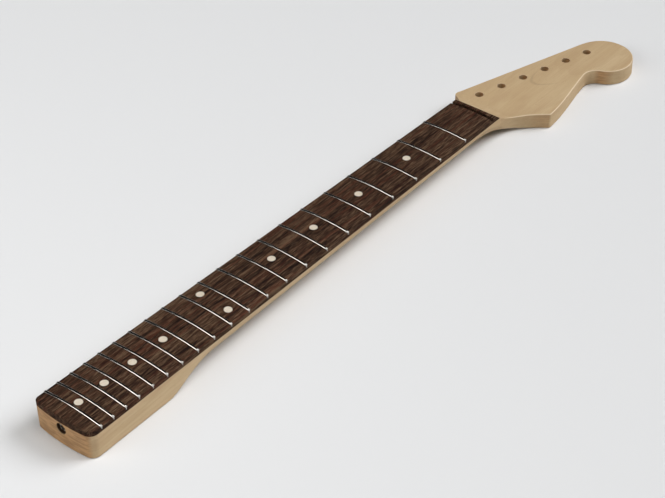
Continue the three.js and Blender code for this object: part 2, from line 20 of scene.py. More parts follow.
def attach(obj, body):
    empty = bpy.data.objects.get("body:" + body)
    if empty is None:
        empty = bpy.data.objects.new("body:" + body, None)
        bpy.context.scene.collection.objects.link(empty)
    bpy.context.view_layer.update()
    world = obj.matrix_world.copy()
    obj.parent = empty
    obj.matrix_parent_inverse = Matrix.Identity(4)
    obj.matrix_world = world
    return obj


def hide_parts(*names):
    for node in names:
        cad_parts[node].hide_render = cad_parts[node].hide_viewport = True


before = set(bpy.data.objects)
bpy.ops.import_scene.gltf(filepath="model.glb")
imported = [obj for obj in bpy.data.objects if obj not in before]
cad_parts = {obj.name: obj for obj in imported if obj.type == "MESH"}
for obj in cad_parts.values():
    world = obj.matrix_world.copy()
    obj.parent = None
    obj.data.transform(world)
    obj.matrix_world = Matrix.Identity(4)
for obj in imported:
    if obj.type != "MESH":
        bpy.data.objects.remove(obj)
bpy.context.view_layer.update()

MM = 0.001
WELD_DISTANCE = 1e-6
SMALLEST = 1e-9
NECK_BODY = "neck"
WAVE_RADIANS_PER_METRE = 20
NORMAL_WEIGHT = 60
NOISE_MIDDLE = 0.5
QUARTER_TURN = math.pi / 2
HALF_TURN = math.pi
FULL_TURN = 2 * math.pi
log = logging.getLogger("guitar_neck")

Point = tuple[float, float, float]
Pair = tuple[float, float]
Range = tuple[float, float, float, float]
Colour = tuple[float, float, float]
Piece = bpy.types.Object
Socket = bpy.types.NodeSocket
Material = bpy.types.Material
Feeds = Mapping[str | int, object]
Item = TypeVar("Item")

ORIGIN: Point = (0.0, 0.0, 0.0)
UNIT: Point = (1.0, 1.0, 1.0)
ACROSS_ONLY: Point = (0.0, 1.0, 1.0)


class Side(Enum):
    """The two long sides of the neck, with the sign of their Y."""

    TREBLE = -1
    BASS = 1


class Axis(Enum):
    """Axes about which a shape is turned, by their place in a point."""

    ALONG = 0
    ACROSS = 1
    UP = 2


class Slot(Enum):
    """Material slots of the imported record."""

    MAPLE = "maple"
    ROSEWOOD = "rosewood"
    FRET_WIRE = "fret_wire"
    INLAY = "inlay"
    ROD_STEEL = "rod_steel"


def ease(value: float, start: float, length: float) -> float:
    """Returns a share that eases from 0 at the start to 1 at the end of a stretch."""
    share = min(max((value - start) / length, 0.0), 1.0)
    return share * share * (3 - 2 * share)


def mix(first: float, second: float, share: float) -> float:
    """Returns the value that lies a share of the way from first to second."""
    return first + (second - first) * share


def spread(start: float, length: float, count: int) -> list[float]:
    """Returns count + 1 evenly spaced values from start over length."""
    return [start + length * i / count for i in range(count + 1)]


def quarter(steps: int) -> list[Pair]:
    """Returns sine and cosine at steps + 1 even turns from 0 to 90 degrees."""
    return [(math.sin(turn), max(math.cos(turn), 0.0)) for turn in spread(0.0, QUARTER_TURN, steps)]


def adjust(item: Item, **settings: object) -> Item:
    """Sets properties by name.

    Args:
        item: What they belong to.
        settings: Their values.

    Returns:
        The same item.
    """
    for key, value in settings.items():
        setattr(item, key, value)
    return item


def add_object(data: bpy.types.ID) -> Piece:
    """Puts an object in the scene.

    Args:
        data: Its mesh, lamp or camera, which names it.

    Returns:
        The new object.
    """
    made = bpy.data.objects.new(data.name, data)
    bpy.context.scene.collection.objects.link(made)
    return made


@dataclass(frozen=True)
class NeckSizes:
    """Sizes that the neck's pieces share, in millimetres.

    Names in x are places along the neck from the middle of the heel's four screws, and names in z are
    heights above the heel's seat.
    """

    scale_length: float = 647.7
    fret_count: int = 21
    frets_per_octave: int = 12
    nut_width: float = 42.0
    heel_width: float = 56.2
    past_last_fret: float = 12.4
    heel_x: float = -38.1
    glue_z: float = 20.4
    board_thickness: float = 6.0
    board_radius: float = 184.15
    face_z: float = 14.0
    nut_slot_width: float = 3.2
    nut_slot_depth: float = 3.6
    shelf_width: float = 2.8
    scoop_radius: float = 40.4
    overrun: float = 2.0

    @property
    def nut_to_heel_end(self) -> float:
        """Distance from the nut front to the heel end."""
        return self.fret_distance(self.fret_count) + self.past_last_fret

    @property
    def nut_x(self) -> float:
        """Place of the nut front along the neck."""
        return self.heel_x + self.nut_to_heel_end

    @property
    def crown_z(self) -> float:
        """Height of the board's crown."""
        return self.glue_z + self.board_thickness

    @property
    def shelf_end_x(self) -> float:
        """Where the shelf behind the nut slot ends."""
        return self.nut_x + self.nut_slot_width + self.shelf_width

    @property
    def scoop_end_x(self) -> float:
        """Where the scoop meets the headstock face."""
        return self.shelf_end_x + self.scoop_run(self.crown_z)

    @property
    def board_tail_x(self) -> float:
        """Where the scoop cuts through the glue face."""
        return self.scoop_end_x - self.scoop_run(self.glue_z)

    @property
    def taper(self) -> float:
        """Change of half width per millimetre along the neck."""
        return (self.heel_width - self.nut_width) / 2 / self.nut_to_heel_end

    def scoop_run(self, z: float) -> float:
        """Returns how far the scoop reaches from the headstock face to a height."""
        rise = self.scoop_radius - z + self.face_z
        return math.sqrt(self.scoop_radius**2 - rise**2)

    def fret_distance(self, number: int) -> float:
        """Returns how far a fret lies from the nut front."""
        return self.scale_length * (1 - 2 ** (-number / self.frets_per_octave))

    def fret_x(self, number: int) -> float:
        """Returns the place of a fret along the neck."""
        return self.nut_x - self.fret_distance(number)

    def between_frets(self, number: int) -> float:
        """Returns the middle of the space below a fret."""
        return (self.fret_x(number) + self.fret_x(number - 1)) / 2

    def half_width(self, x: float) -> float:
        """Returns half the neck's width at a place along it."""
        return self.nut_width / 2 + (self.nut_x - x) * self.taper

    def crown(self, y: float) -> float:
        """Returns the height of the board's crowned face across the neck."""
        return self.crown_z - self.board_radius + math.sqrt(self.board_radius**2 - y * y)


SIZES = NeckSizes()


@dataclass
class Skin:
    """Vertices in millimetres and the faces over them, gathered before a mesh is made."""

    points: list[Point] = field(default_factory=list)
    faces: list[tuple[int, ...]] = field(default_factory=list)

    def loft(self, rings: Sequence[Sequence[Point]], caps: bool = True) -> "Skin":
        """Skins a row of rings of equal count.

        Args:
            rings: Rings that turn anticlockwise as seen from the last ring.
            caps: Whether flat faces close both ends.

        Returns:
            This skin.
        """
        count = len(rings[0])
        firsts = [len(self.points) + count * i for i in range(len(rings))]
        for ring in rings:
            self.points.extend(ring)
        for here, there in zip(firsts, firsts[1:]):
            for j in range(count):
                k = (j + 1) % count
                self.faces.append((here + j, here + k, there + k, there + j))
        if caps:
            self.faces.append(tuple(reversed(range(firsts[0], firsts[0] + count))))
            self.faces.append(tuple(range(firsts[-1], firsts[-1] + count)))
        return self

    def box(self, low: Point, high: Point) -> "Skin":
        """Adds a closed box.

        Args:
            low: Its low corner.
            high: Its high corner.

        Returns:
            This skin.
        """
        (x0, y0, z0), (x1, y1, z1) = low, high
        ring = [(y0, z0), (y1, z0), (y1, z1), (y0, z1)]
        return self.loft([[(x, y, z) for y, z in ring] for x in (x0, x1)])

    def turned(self, centre: Point, profile: Sequence[Pair], sides: int, axis: Axis = Axis.UP) -> None:
        """Adds a closed solid turned about an axis.

        Args:
            centre: A point on the axis.
            profile: Distances from the axis and places along it, end to end.
            sides: Number of facets round the axis.
            axis: Direction of the axis.
        """
        rings = []
        for radius, along in profile:
            ring = []
            for turn in spread(0.0, FULL_TURN, sides)[:-1]:
                offset = [radius * math.cos(turn), radius * math.sin(turn)]
                offset.insert(axis.value, along)
                ring.append(tuple(c + d for c, d in zip(centre, offset)))
            rings.append(ring)
        self.loft(rings)

    def to_object(self, name: str) -> Piece:
        """Makes a closed Blender object, in metres, from what was gathered.

        Args:
            name: Name of the object and its mesh.

        Returns:
            The new object, linked to the scene.
        """
        mesh = bpy.data.meshes.new(name)
        mesh.from_pydata([tuple(v * MM for v in point) for point in self.points], [], self.faces)
        work = bmesh.new()
        work.from_mesh(mesh)
        bmesh.ops.remove_doubles(work, verts=work.verts, dist=WELD_DISTANCE)
        bmesh.ops.dissolve_degenerate(work, edges=work.edges, dist=WELD_DISTANCE)
        bmesh.ops.recalc_face_normals(work, faces=work.faces)
        work.to_mesh(mesh)
        work.free()
        return add_object(mesh)


def bake_modifiers(piece: Piece) -> None:
    """Writes the result of a piece's modifiers into its mesh and clears them.

    Args:
        piece: The piece.
    """
    graph = bpy.context.evaluated_depsgraph_get()
    result = bpy.data.meshes.new_from_object(piece.evaluated_get(graph))
    old = piece.data
    piece.modifiers.clear()
    piece.data = result
    result.name = old.name
    bpy.data.meshes.remove(old)


def carve(piece: Piece, cutters: Sequence[Skin]) -> None:
    """Cuts each cutter out of a piece, one after another.

    Args:
        piece: The closed piece to cut.
        cutters: Closed shapes, none of which touches itself.
    """
    for number, skin in enumerate(cutters):
        cutter = skin.to_object(f"{piece.name}_cut_{number}")
        cut = piece.modifiers.new("cut", "BOOLEAN")
        adjust(cut, operation="DIFFERENCE", solver="EXACT", object=cutter)
        bpy.context.view_layer.update()
        bake_modifiers(piece)
        mesh = cutter.data
        bpy.data.objects.remove(cutter)
        bpy.data.meshes.remove(mesh)


def smooth_by_angle(piece: Piece, degrees: float) -> Piece:
    """Shades a piece smooth.

    Args:
        piece: The piece.
        degrees: Angle above which its edges stay sharp.

    Returns:
        The same piece.
    """
    piece.data.shade_smooth()
    piece.data.set_sharp_from_angle(angle=math.radians(degrees))
    weighted = piece.modifiers.new("even_normals", "WEIGHTED_NORMAL")
    adjust(weighted, mode="FACE_AREA_WITH_ANGLE", weight=NORMAL_WEIGHT, keep_sharp=True)
    return piece


@dataclass(frozen=True)
class EdgePoint:
    """A point on the outline and the square direction from it into the wood."""

    x: float
    y: float
    in_x: float
    in_y: float

    def inside(self, depth: float) -> Pair:
        """Returns the place that lies a depth into the wood."""
        return self.x + self.in_x * depth, self.y + self.in_y * depth


@dataclass(frozen=True)
class HeadOutline:
    """Sizes of the headstock in plan, from the nut front and the centre line."""

    ball_reach: float = 156.3
    ball_offset: float = 30.4
    ball_radius: float = 26.15
    lobe_radius: float = 22.5
    shoulder_radius: float = 41.7
    notch_radius: float = 12.6
    horn_reach: float = 51.2
    horn_offset: float = 44.9
    horn_radius: float = 1.8
    hip_reach: float = 30.5
    hip_radius: float = 7.0
    edge_angle: float = math.radians(17.2)
    shoulder_angle: float = math.radians(56)
    lobe_angle: float = math.radians(-93)
    notch_join_angle: float = math.radians(200)
    notch_start_angle: float = math.radians(100)
    horn_entry_angle: float = math.radians(-145)
    horn_exit_angle: float = math.radians(-84)
    hip_entry_angle: float = math.radians(147)
    treble_flare: tuple[Pair, ...] = ((0.29, 0.0), (0.59, 0.13))
    horn_slope: tuple[Pair, ...] = ((0.34, 0.1), (0.66, 0.7))
    bass_flare: tuple[Pair, ...] = ((0.25, 0.17), (0.76, 0.66))
    heel_bow_radius: float = 165.0
    treble_corner: float = 7.2
    bass_corner: float = 4.5
    chord: float = 0.35
    least_chord: float = 0.0175
    fewest_chords: int = 6


HEAD = HeadOutline()


class Outline:
    """One side of the neck in plan, from the heel end's middle to the headstock's tip."""

    def __init__(self, side: Side) -> None:
        """Walks the outline.

        Args:
            side: Which side to walk.
        """
        self.side = side
        self.path: list[Vector] = []
        self._heel()
        if side is Side.TREBLE:
            self._treble_head()
        else:
            self._bass_head()
        self.points = self._with_normals()
        self.xs = [point.x for point in self.points]

    @staticmethod
    def on_circle(centre: Vector, radius: float, angle: float) -> Vector:
        """Returns the point of a circle at an angle."""
        return Vector((centre.x + radius * math.cos(angle), centre.y + radius * math.sin(angle)))

    def _arc(self, centre: Vector, radius: float, start: float, end: float) -> None:
        """Adds an arc.

        Args:
            centre: Its centre.
            radius: Its radius.
            start: Angle where it starts.
            end: Angle where it ends.
        """
        count = max(HEAD.fewest_chords, round(abs(end - start) * radius / HEAD.chord))
        turns = spread(start, end - start, count)
        self.path.extend(self.on_circle(centre, radius, turn) for turn in turns)

    def _curve(self, handles: Sequence[Pair], end: Vector) -> None:
        """Adds a free curve whose handles are shares of its own run.

        Args:
            handles: Shares along and across the neck for both handles.
            end: Where the curve ends.
        """
        start = self.path[-1].copy()
        first, second = (Vector((mix(start.x, end.x, a), mix(start.y, end.y, b))) for a, b in handles)
        count = round((end - start).length / HEAD.chord)
        for t in spread(0.0, 1.0, count)[1:]:
            u = 1 - t
            self.path.append(u**3 * start + 3 * u * u * t * first + 3 * u * t * t * second + t**3 * end)

    def _heel(self) -> None:
        """Adds the bowed heel end, its corner and the straight side of the neck."""
        sign, slope, bow = self.side.value, SIZES.taper, HEAD.heel_bow_radius
        corner = HEAD.treble_corner if self.side is Side.TREBLE else HEAD.bass_corner
        inset = SIZES.heel_width / 2 - corner * math.hypot(1, slope)
        half = bow + inset * slope
        rest = bow**2 + inset**2 - (bow - corner) ** 2
        along = (half - math.sqrt(half**2 - (1 + slope**2) * rest)) / (1 + slope**2)
        across = inset - slope * along
        angle = math.atan2(across, along - bow)
        square = QUARTER_TURN - math.atan(slope)
        self._arc(Vector((SIZES.heel_x + bow, 0)), bow, sign * HALF_TURN, sign * angle)
        self._arc(Vector((SIZES.heel_x + along, sign * across)), corner, sign * angle, sign * square)
        tail = SIZES.board_tail_x
        self.path.append(Vector((tail, sign * SIZES.half_width(tail))))

    def _treble_head(self) -> None:
        """Adds the flare, horn, slope, notch and ball of the treble side."""
        ball = self._ball()
        lobe = self.on_circle(ball, HEAD.ball_radius - HEAD.lobe_radius, HEAD.lobe_angle)
        notch = self.on_circle(lobe, HEAD.lobe_radius + HEAD.notch_radius, HEAD.notch_join_angle)
        entry = Vector((SIZES.nut_x + HEAD.horn_reach, -HEAD.horn_offset))
        horn = self.on_circle(entry, HEAD.horn_radius, HEAD.horn_entry_angle + HALF_TURN)
        self._curve(HEAD.treble_flare, entry)
        self._arc(horn, HEAD.horn_radius, HEAD.horn_entry_angle, HEAD.horn_exit_angle)
        self._curve(HEAD.horn_slope, self.on_circle(notch, HEAD.notch_radius, HEAD.notch_start_angle))
        self._arc(notch, HEAD.notch_radius, HEAD.notch_start_angle, HEAD.notch_join_angle - HALF_TURN)
        self._arc(lobe, HEAD.lobe_radius, HEAD.notch_join_angle - FULL_TURN, HEAD.lobe_angle)
        self._arc(ball, HEAD.ball_radius, HEAD.lobe_angle, 0.0)

    def _bass_head(self) -> None:
        """Adds the flare, hip, straight tuner edge, shoulder and ball of the bass side."""
        ball = self._ball()
        square = QUARTER_TURN - HEAD.edge_angle
        shoulder = self.on_circle(ball, HEAD.ball_radius - HEAD.shoulder_radius, HEAD.shoulder_angle)
        edge_end = self.on_circle(shoulder, HEAD.shoulder_radius - HEAD.hip_radius, square)
        hip_x = SIZES.nut_x + HEAD.hip_reach
        hip = Vector((hip_x, edge_end.y + (edge_end.x - hip_x) * math.tan(HEAD.edge_angle)))
        self._curve(HEAD.bass_flare, self.on_circle(hip, HEAD.hip_radius, HEAD.hip_entry_angle))
        self._arc(hip, HEAD.hip_radius, HEAD.hip_entry_angle, square)
        self._arc(shoulder, HEAD.shoulder_radius, square, HEAD.shoulder_angle)
        self._arc(ball, HEAD.ball_radius, HEAD.shoulder_angle, 0.0)

    def _ball(self) -> Vector:
        """Returns the centre of the headstock's round end."""
        return Vector((SIZES.nut_x + HEAD.ball_reach, -HEAD.ball_offset))

    def _with_normals(self) -> list[EdgePoint]:
        """Finds the inward direction at each walked point.

        Returns:
            The points in order of x.
        """
        kept: list[Vector] = []
        for point in self.path:
            if not kept or (point - kept[-1]).length > HEAD.least_chord:
                kept.append(point)
        sign = self.side.value
        points = []
        for i, point in enumerate(kept):
            before, after = kept[max(i - 1, 0)], kept[min(i + 1, len(kept) - 1)]
            tangent = (after - before).normalized()
            points.append(EdgePoint(point.x, point.y, sign * tangent.y, -sign * tangent.x))
        points[0] = EdgePoint(points[0].x, points[0].y, 1.0, 0.0)
        points[-1] = EdgePoint(points[-1].x, points[-1].y, -1.0, 0.0)
        return sorted(points, key=lambda p: p.x)

    def at(self, x: float) -> EdgePoint:
        """Reads the outline at a place.

        Args:
            x: Place along the neck.

        Returns:
            The outline's point there.
        """
        k = min(max(bisect_left(self.xs, x), 1), len(self.xs) - 1)
        low, high = self.points[k - 1], self.points[k]
        share = (x - low.x) / max(high.x - low.x, SMALLEST)
        in_x, in_y = mix(low.in_x, high.in_x, share), mix(low.in_y, high.in_y, share)
        length = math.hypot(in_x, in_y)
        return EdgePoint(x, mix(low.y, high.y, share), in_x / length, in_y / length)


OUTLINES = [Outline(side) for side in Side]


@dataclass(frozen=True)
class Stations:
    """Places along the neck at which a skin is measured.

    Least is the least gap between two places, and most is the widest gap left open.
    """

    start: float
    end: float
    least: float
    most: float

    def places(self, wanted: Iterable[float]) -> list[float]:
        """Chooses the places.

        Args:
            wanted: Places to keep where there is room.

        Returns:
            The places between start and end, in order.
        """
        kept = [self.start]
        for x in sorted(wanted):
            if x - kept[-1] > self.least and self.end - x > self.least:
                kept.append(x)
        kept.append(self.end)
        filled = []
        for low, high in zip(kept, kept[1:]):
            filled.extend(spread(low, high - low, max(1, math.ceil((high - low) / self.most)))[1:])
        return filled[:-1]

    def rings(self, wanted: Iterable[float], ring: Callable[..., list[Point]]) -> list[list[Point]]:
        """Returns the ring at each place, from the outline's points on both sides."""
        return [ring(*(side.at(x) for side in OUTLINES)) for x in self.places(wanted)]


@dataclass(frozen=True)
class TrussRodFittings:
    """Room for the rod under the board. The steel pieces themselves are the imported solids."""

    rod_diameter: float = 4.8
    rod_end_depth: float = 5.4
    rod_sag: float = 3.6
    rod_straight: float = 26.0
    rod_gap: float = 0.4
    channel_width: float = 5.8
    access_diameter: float = 9.2
    nut_recess: float = 1.6
    nut_length: float = 12.0
    nut_wall: float = 4.6
    running_gap: float = 0.1
    washer_thickness: float = 1.2
    anchor_length: float = 8.0
    anchor_width: float = 12.0
    anchor_height: float = 8.5
    anchor_to_nut: float = 8.0
    anchor_gap: float = 0.3
    channel_steps: int = 16

    @property
    def rod_z(self) -> float:
        """Height of the rod's axis at both ends."""
        return SIZES.glue_z - self.rod_end_depth

    @property
    def access_depth(self) -> float:
        """Depth of the round hole in the heel end."""
        return self.nut_recess + self.nut_length + self.running_gap + self.washer_thickness

    @property
    def anchor_x(self) -> float:
        """Where the anchor block starts."""
        return SIZES.nut_x - self.anchor_to_nut - self.anchor_length

    @property
    def anchor_end(self) -> float:
        """Where the anchor block and the rod end."""
        return self.anchor_x + self.anchor_length

    def axis_z(self, x: float) -> float:
        """Follows the rod's curve.

        Args:
            x: Place along the neck.

        Returns:
            Height of the rod's axis.
        """
        start = SIZES.heel_x + self.nut_recess + self.nut_wall
        share = (x - start - self.rod_straight) / (self.anchor_end - start - 2 * self.rod_straight)
        sag = (1 - math.cos(FULL_TURN * min(max(share, 0.0), 1.0))) / 2
        return self.rod_z - self.rod_sag * sag

    def channel_cutter(self) -> Skin:
        """Shapes the curved channel, open at the glue face.

        Returns:
            The cutter.
        """
        start = SIZES.heel_x + self.access_depth
        half = self.channel_width / 2
        top = SIZES.glue_z + SIZES.overrun
        rings = []
        for x in spread(start, self.anchor_end - start, self.channel_steps):
            low = self.axis_z(x) - self.rod_diameter / 2 - self.rod_gap
            rings.append([(x, -half, low), (x, half, low), (x, half, top), (x, -half, top)])
        return Skin().loft(rings)

    def anchor_cutter(self) -> Skin:
        """Shapes the pocket for the anchor block.

        Returns:
            The cutter.
        """
        half = self.anchor_width / 2 + self.anchor_gap
        low = self.rod_z - self.anchor_height / 2 - self.anchor_gap
        high = SIZES.glue_z + SIZES.overrun
        return Skin().box((self.anchor_x, -half, low), (self.anchor_end + self.anchor_gap, half, high))


@dataclass(frozen=True)
class MapleBlank:
    """The maple neck in one piece: heel, ramp, round shaft, scoop and headstock."""

    rod: TrussRodFittings = TrussRodFittings()
    depth_at_nut: float = 20.8
    depth_at_octave: float = 23.25
    heel_flat: float = 79.0
    ramp_length: float = 48.0
    ramp_power: float = 1.2
    belly_power_nut: float = 1.9
    belly_power_heel: float = 2.15
    edge_round: float = 0.8
    face_round: float = 1.2
    square_rate: float = 2.0
    back_lead: float = 20.0
    back_length: float = 70.0
    keel_lead: float = 2.0
    keel_length: float = 44.0
    corner_steps: int = 18
    round_steps: int = 5
    least_gap: float = 0.3
    most_gap: float = 4.0
    tuner_count: int = 6
    tuner_diameter: float = 7.4
    tuner_pitch: float = 23.7
    tuner_reach: float = 39.6
    tuner_offset: float = 19.3
    tuner_angle: float = math.radians(-17.05)
    tuner_lip: float = 0.15
    screw_along: float = 50.8
    screw_across: float = 38.1
    screw_diameter: float = 3.2
    screw_depth: float = 17.0
    screw_tip: float = 0.08
    hole_sides: int = 56
    smooth_angle: float = 32.0

    @property
    def ramp_start(self) -> float:
        """Where the heel's flat seat ends."""
        return SIZES.heel_x + self.heel_flat

    def top(self, x: float) -> float:
        """Follows the maple's upper face.

        Args:
            x: Place along the neck.

        Returns:
            Its height.
        """
        if x <= SIZES.board_tail_x:
            return SIZES.glue_z
        if x >= SIZES.scoop_end_x:
            return SIZES.face_z
        run = SIZES.scoop_end_x - x
        return SIZES.face_z + SIZES.scoop_radius - math.sqrt(SIZES.scoop_radius**2 - run * run)

    def back(self, x: float) -> float:
        """Follows the keel line on the neck's back.

        Args:
            x: Place along the neck.

        Returns:
            Its height.
        """
        octave = (SIZES.nut_x - x) / SIZES.fret_distance(SIZES.frets_per_octave)
        shaft = SIZES.crown_z - mix(self.depth_at_nut, self.depth_at_octave, octave)
        near_nut = 1 - ease(x, SIZES.nut_x - self.keel_lead, self.keel_length)
        return shaft * ease(x, self.ramp_start, self.ramp_length) * near_nut

    def roundness(self, x: float) -> float:
        """Tells how round the back is.

        Args:
            x: Place along the neck.

        Returns:
            1 where it is fully round and 0 where the section is square.
        """
        ramp = min(max((x - self.ramp_start) / self.ramp_length, 0.0), 1.0)
        heel = math.sin(ramp * QUARTER_TURN) ** self.ramp_power
        return heel * (1 - ease(x, SIZES.nut_x - self.back_lead, self.back_length))

    def half_section(self, edge: EdgePoint) -> list[Point]:
        """Measures one side of a cross section.

        Args:
            edge: The outline's point at that section.

        Returns:
            Points from the upper face down to the keel.
        """
        tail = SIZES.board_tail_x
        face_round = self.face_round * ease(edge.x, tail, SIZES.scoop_end_x - tail)
        points = []
        for sine, cosine in quarter(self.round_steps):
            x, y = edge.inside(face_round * (1 - sine))
            points.append((x, y, self.top(x) - face_round * (1 - cosine)))
        share = self.roundness(edge.x)
        place = (SIZES.nut_x - edge.x) / SIZES.nut_to_heel_end
        power = 2 / mix(self.belly_power_nut, self.belly_power_heel, place)
        square = min(share * self.square_rate, 1.0)
        sign = math.copysign(1.0, edge.y) if edge.y else 0.0
        inward = Vector((edge.in_x * (1 - square), edge.in_y * (1 - square) - sign * square))
        turned = EdgePoint(edge.x, edge.y, *inward.normalized())
        inset = mix(self.edge_round, abs(edge.y), share) if share > 0 else self.edge_round
        rise = mix(self.edge_round, self.top(edge.x) - face_round - self.back(edge.x), share)
        for sine, cosine in quarter(self.corner_steps):
            x, y = turned.inside(inset * (1 - cosine**power))
            points.append((x, y, self.back(x) + rise * (1 - sine**power)))
        return points

    def ring(self, treble: EdgePoint, bass: EdgePoint) -> list[Point]:
        """Returns the points round one cross section."""
        return [*self.half_section(treble), *reversed(self.half_section(bass))]

    def skin(self) -> Skin:
        """Lofts the uncut blank.

        Returns:
            Its skin.
        """
        heel, tip = OUTLINES[0].points[0], OUTLINES[0].points[-1]
        stations = Stations(heel.x, tip.x, self.least_gap, self.most_gap)
        middle = stations.rings((x for side in OUTLINES for x in side.xs), self.ring)
        return Skin().loft([self.ring(heel, heel), *middle, self.ring(tip, tip)], caps=False)

    def hole_cutter(self) -> Skin:
        """Shapes the tuner, screw and rod holes.

        Returns:
            One set of separate cutters.
        """
        over, thick = SIZES.overrun, SIZES.face_z
        cutter = Skin()
        radius, lip = self.tuner_diameter / 2, self.tuner_lip
        flare = radius + lip
        bore = [(flare, -over), (flare, 0.0), (radius, lip)]
        bore += [(radius, thick - lip), (flare, thick), (flare, thick + over)]
        for step in range(self.tuner_count):
            run = step * self.tuner_pitch
            x = SIZES.nut_x + self.tuner_reach + run * math.cos(self.tuner_angle)
            y = self.tuner_offset + run * math.sin(self.tuner_angle)
            cutter.turned((x, y, 0.0), bore, self.hole_sides)
        pilot = self.screw_diameter / 2
        depth = self.screw_depth
        drill = [(pilot, -over), (pilot, depth), (self.screw_tip, depth + pilot)]
        for along in (-1, 1):
            for across in (-1, 1):
                centre = (along * self.screw_along / 2, across * self.screw_across / 2, 0.0)
                cutter.turned(centre, drill, self.hole_sides // 2)
        access = self.rod.access_diameter / 2
        mouth = [(access, -over), (access, self.rod.access_depth)]
        cutter.turned((SIZES.heel_x, 0.0, self.rod.rod_z), mouth, self.hole_sides, Axis.ALONG)
        return cutter

    def build(self) -> Piece:
        """Makes the carved blank.

        Returns:
            The finished mesh object.
        """
        blank = self.skin().to_object("maple_blank")
        carve(blank, [self.hole_cutter(), self.rod.channel_cutter(), self.rod.anchor_cutter()])
        return smooth_by_angle(blank, self.smooth_angle)


@dataclass(frozen=True)
class Fingerboard:
    """The rosewood board with its crown, rolled edges, slots and inlay pockets."""

    edge_roll: float = 0.8
    roll_steps: int = 5
    crown_steps: int = 40
    least_gap: float = 0.3
    most_gap: float = 12.0
    slot_steps: int = 24
    slot_width: float = 0.59
    slot_depth: float = 1.95
    dot_diameter: float = 6.35
    dot_depth: float = 2.0
    dot_gap: float = 0.08
    double_offset: float = 13.8
    side_dot_diameter: float = 2.0
    side_dot_depth: float = 3.0
    side_dot_height: float = 2.0
    side_double_spacing: float = 8.0
    pocket_sides: int = 40
    scoop_steps: int = 24
    single_dots: tuple[int, ...] = (3, 5, 7, 9, 15, 17, 19, 21)
    double_dot: int = 12
    smooth_angle: float = 32.0

    def half_ring(self, edge: EdgePoint) -> list[Point]:
        """Measures one edge of a section.

        Args:
            edge: The outline's point there.

        Returns:
            Points from the glue face up over the roll.
        """
        crown = SIZES.crown(edge.inside(self.edge_roll)[1])
        points = [(edge.x, edge.y, SIZES.glue_z)]
        for sine, cosine in quarter(self.roll_steps):
            x, y = edge.inside(self.edge_roll * (1 - cosine))
            points.append((x, y, crown - self.edge_roll * (1 - sine)))
        return points

    def ring(self, treble: EdgePoint, bass: EdgePoint) -> list[Point]:
        """Measures a whole section.

        Args:
            treble: The outline's point on the treble side.
            bass: The one on the bass side.

        Returns:
            The points round it.
        """
        up, down = self.half_ring(treble), self.half_ring(bass)[::-1]
        across = []
        for share in spread(0.0, 1.0, self.crown_steps)[1:-1]:
            x, y = (mix(a, b, share) for a, b in zip(up[-1][:2], down[0][:2]))
            across.append((x, y, SIZES.crown(y)))
        return [*up, *across, *down][::-1]

    def skin(self) -> Skin:
        """Lofts the uncut board, which runs a little past the scoop.

        Returns:
            Its skin.
        """
        heel = OUTLINES[0].points[0]
        tail = SIZES.board_tail_x + SIZES.overrun
        corner = SIZES.heel_x + 2 * HEAD.treble_corner
        stations = Stations(heel.x, tail, self.least_gap, self.most_gap)
        middle = stations.rings((x for side in OUTLINES for x in side.xs if x < corner), self.ring)
        ends = [EdgePoint(tail, side.value * SIZES.half_width(tail), 0.0, -side.value) for side in Side]
        skin = Skin().loft([self.ring(heel, heel), *middle, self.ring(*ends)], caps=False)
        count = len(skin.points)
        skin.faces.append(tuple(range(count - len(middle[-1]), count)))
        return skin

    def scoop(self) -> Skin:
        """Shapes the wood that the scoop takes away.

        Returns:
            The cutter.
        """
        half = SIZES.nut_width / 2 + 2 * SIZES.overrun
        high = SIZES.crown_z + SIZES.overrun
        start = math.asin((SIZES.scoop_end_x - SIZES.shelf_end_x) / SIZES.scoop_radius)
        side = [(SIZES.shelf_end_x, high)]
        for turn in spread(start, -start, self.scoop_steps):
            x = SIZES.scoop_end_x - SIZES.scoop_radius * math.sin(turn)
            side.append((x, SIZES.face_z + SIZES.scoop_radius * (1 - math.cos(turn))))
        side.append((SIZES.scoop_end_x, high))
        return Skin().loft([[(x, y, z) for x, z in side] for y in (half, -half)])

    def slots(self) -> Skin:
        """Shapes the nut slot and the curved fret slots.

        Returns:
            One set of separate cutters.
        """
        over, nut_x = SIZES.overrun, SIZES.nut_x
        half = SIZES.nut_width / 2 + over
        floor = SIZES.crown_z - SIZES.nut_slot_depth
        high = SIZES.crown_z + over
        cutter = Skin().box((nut_x, -half, floor), (nut_x + SIZES.nut_slot_width, half, high))
        for number in range(1, SIZES.fret_count + 1):
            x = SIZES.fret_x(number)
            near, far = x - self.slot_width / 2, x + self.slot_width / 2
            half = SIZES.half_width(x) + over
            rings = []
            for y in spread(half, -2 * half, self.slot_steps):
                low = SIZES.crown(y) - self.slot_depth
                rings.append([(near, y, low), (far, y, low), (far, y, high), (near, y, high)])
            cutter.loft(rings)
        return cutter

    def pockets(self) -> Skin:
        """Shapes the round pockets of the face dots and side dots.

        Returns:
            One set of separate cutters.
        """
        over = SIZES.overrun
        cutter = Skin()
        singles = [SIZES.between_frets(number) for number in self.single_dots]
        middle = SIZES.between_frets(self.double_dot)
        radius = self.dot_diameter / 2 + self.dot_gap
        for x, y in [(x, 0.0) for x in singles] + [(middle, s.value * self.double_offset) for s in Side]:
            low = SIZES.crown(y) - self.dot_depth - self.dot_gap
            cutter.turned((x, y, 0.0), [(radius, low), (radius, SIZES.crown_z + over)], self.pocket_sides)
        radius = self.side_dot_diameter / 2 + self.dot_gap
        profile = [(radius, over), (radius, -self.side_dot_depth - self.dot_gap)]
        z = SIZES.glue_z + self.side_dot_height
        for x in singles + [middle + s.value * self.side_double_spacing / 2 for s in Side]:
            cutter.turned((x, SIZES.half_width(x), z), profile, self.pocket_sides, Axis.ACROSS)
        return cutter

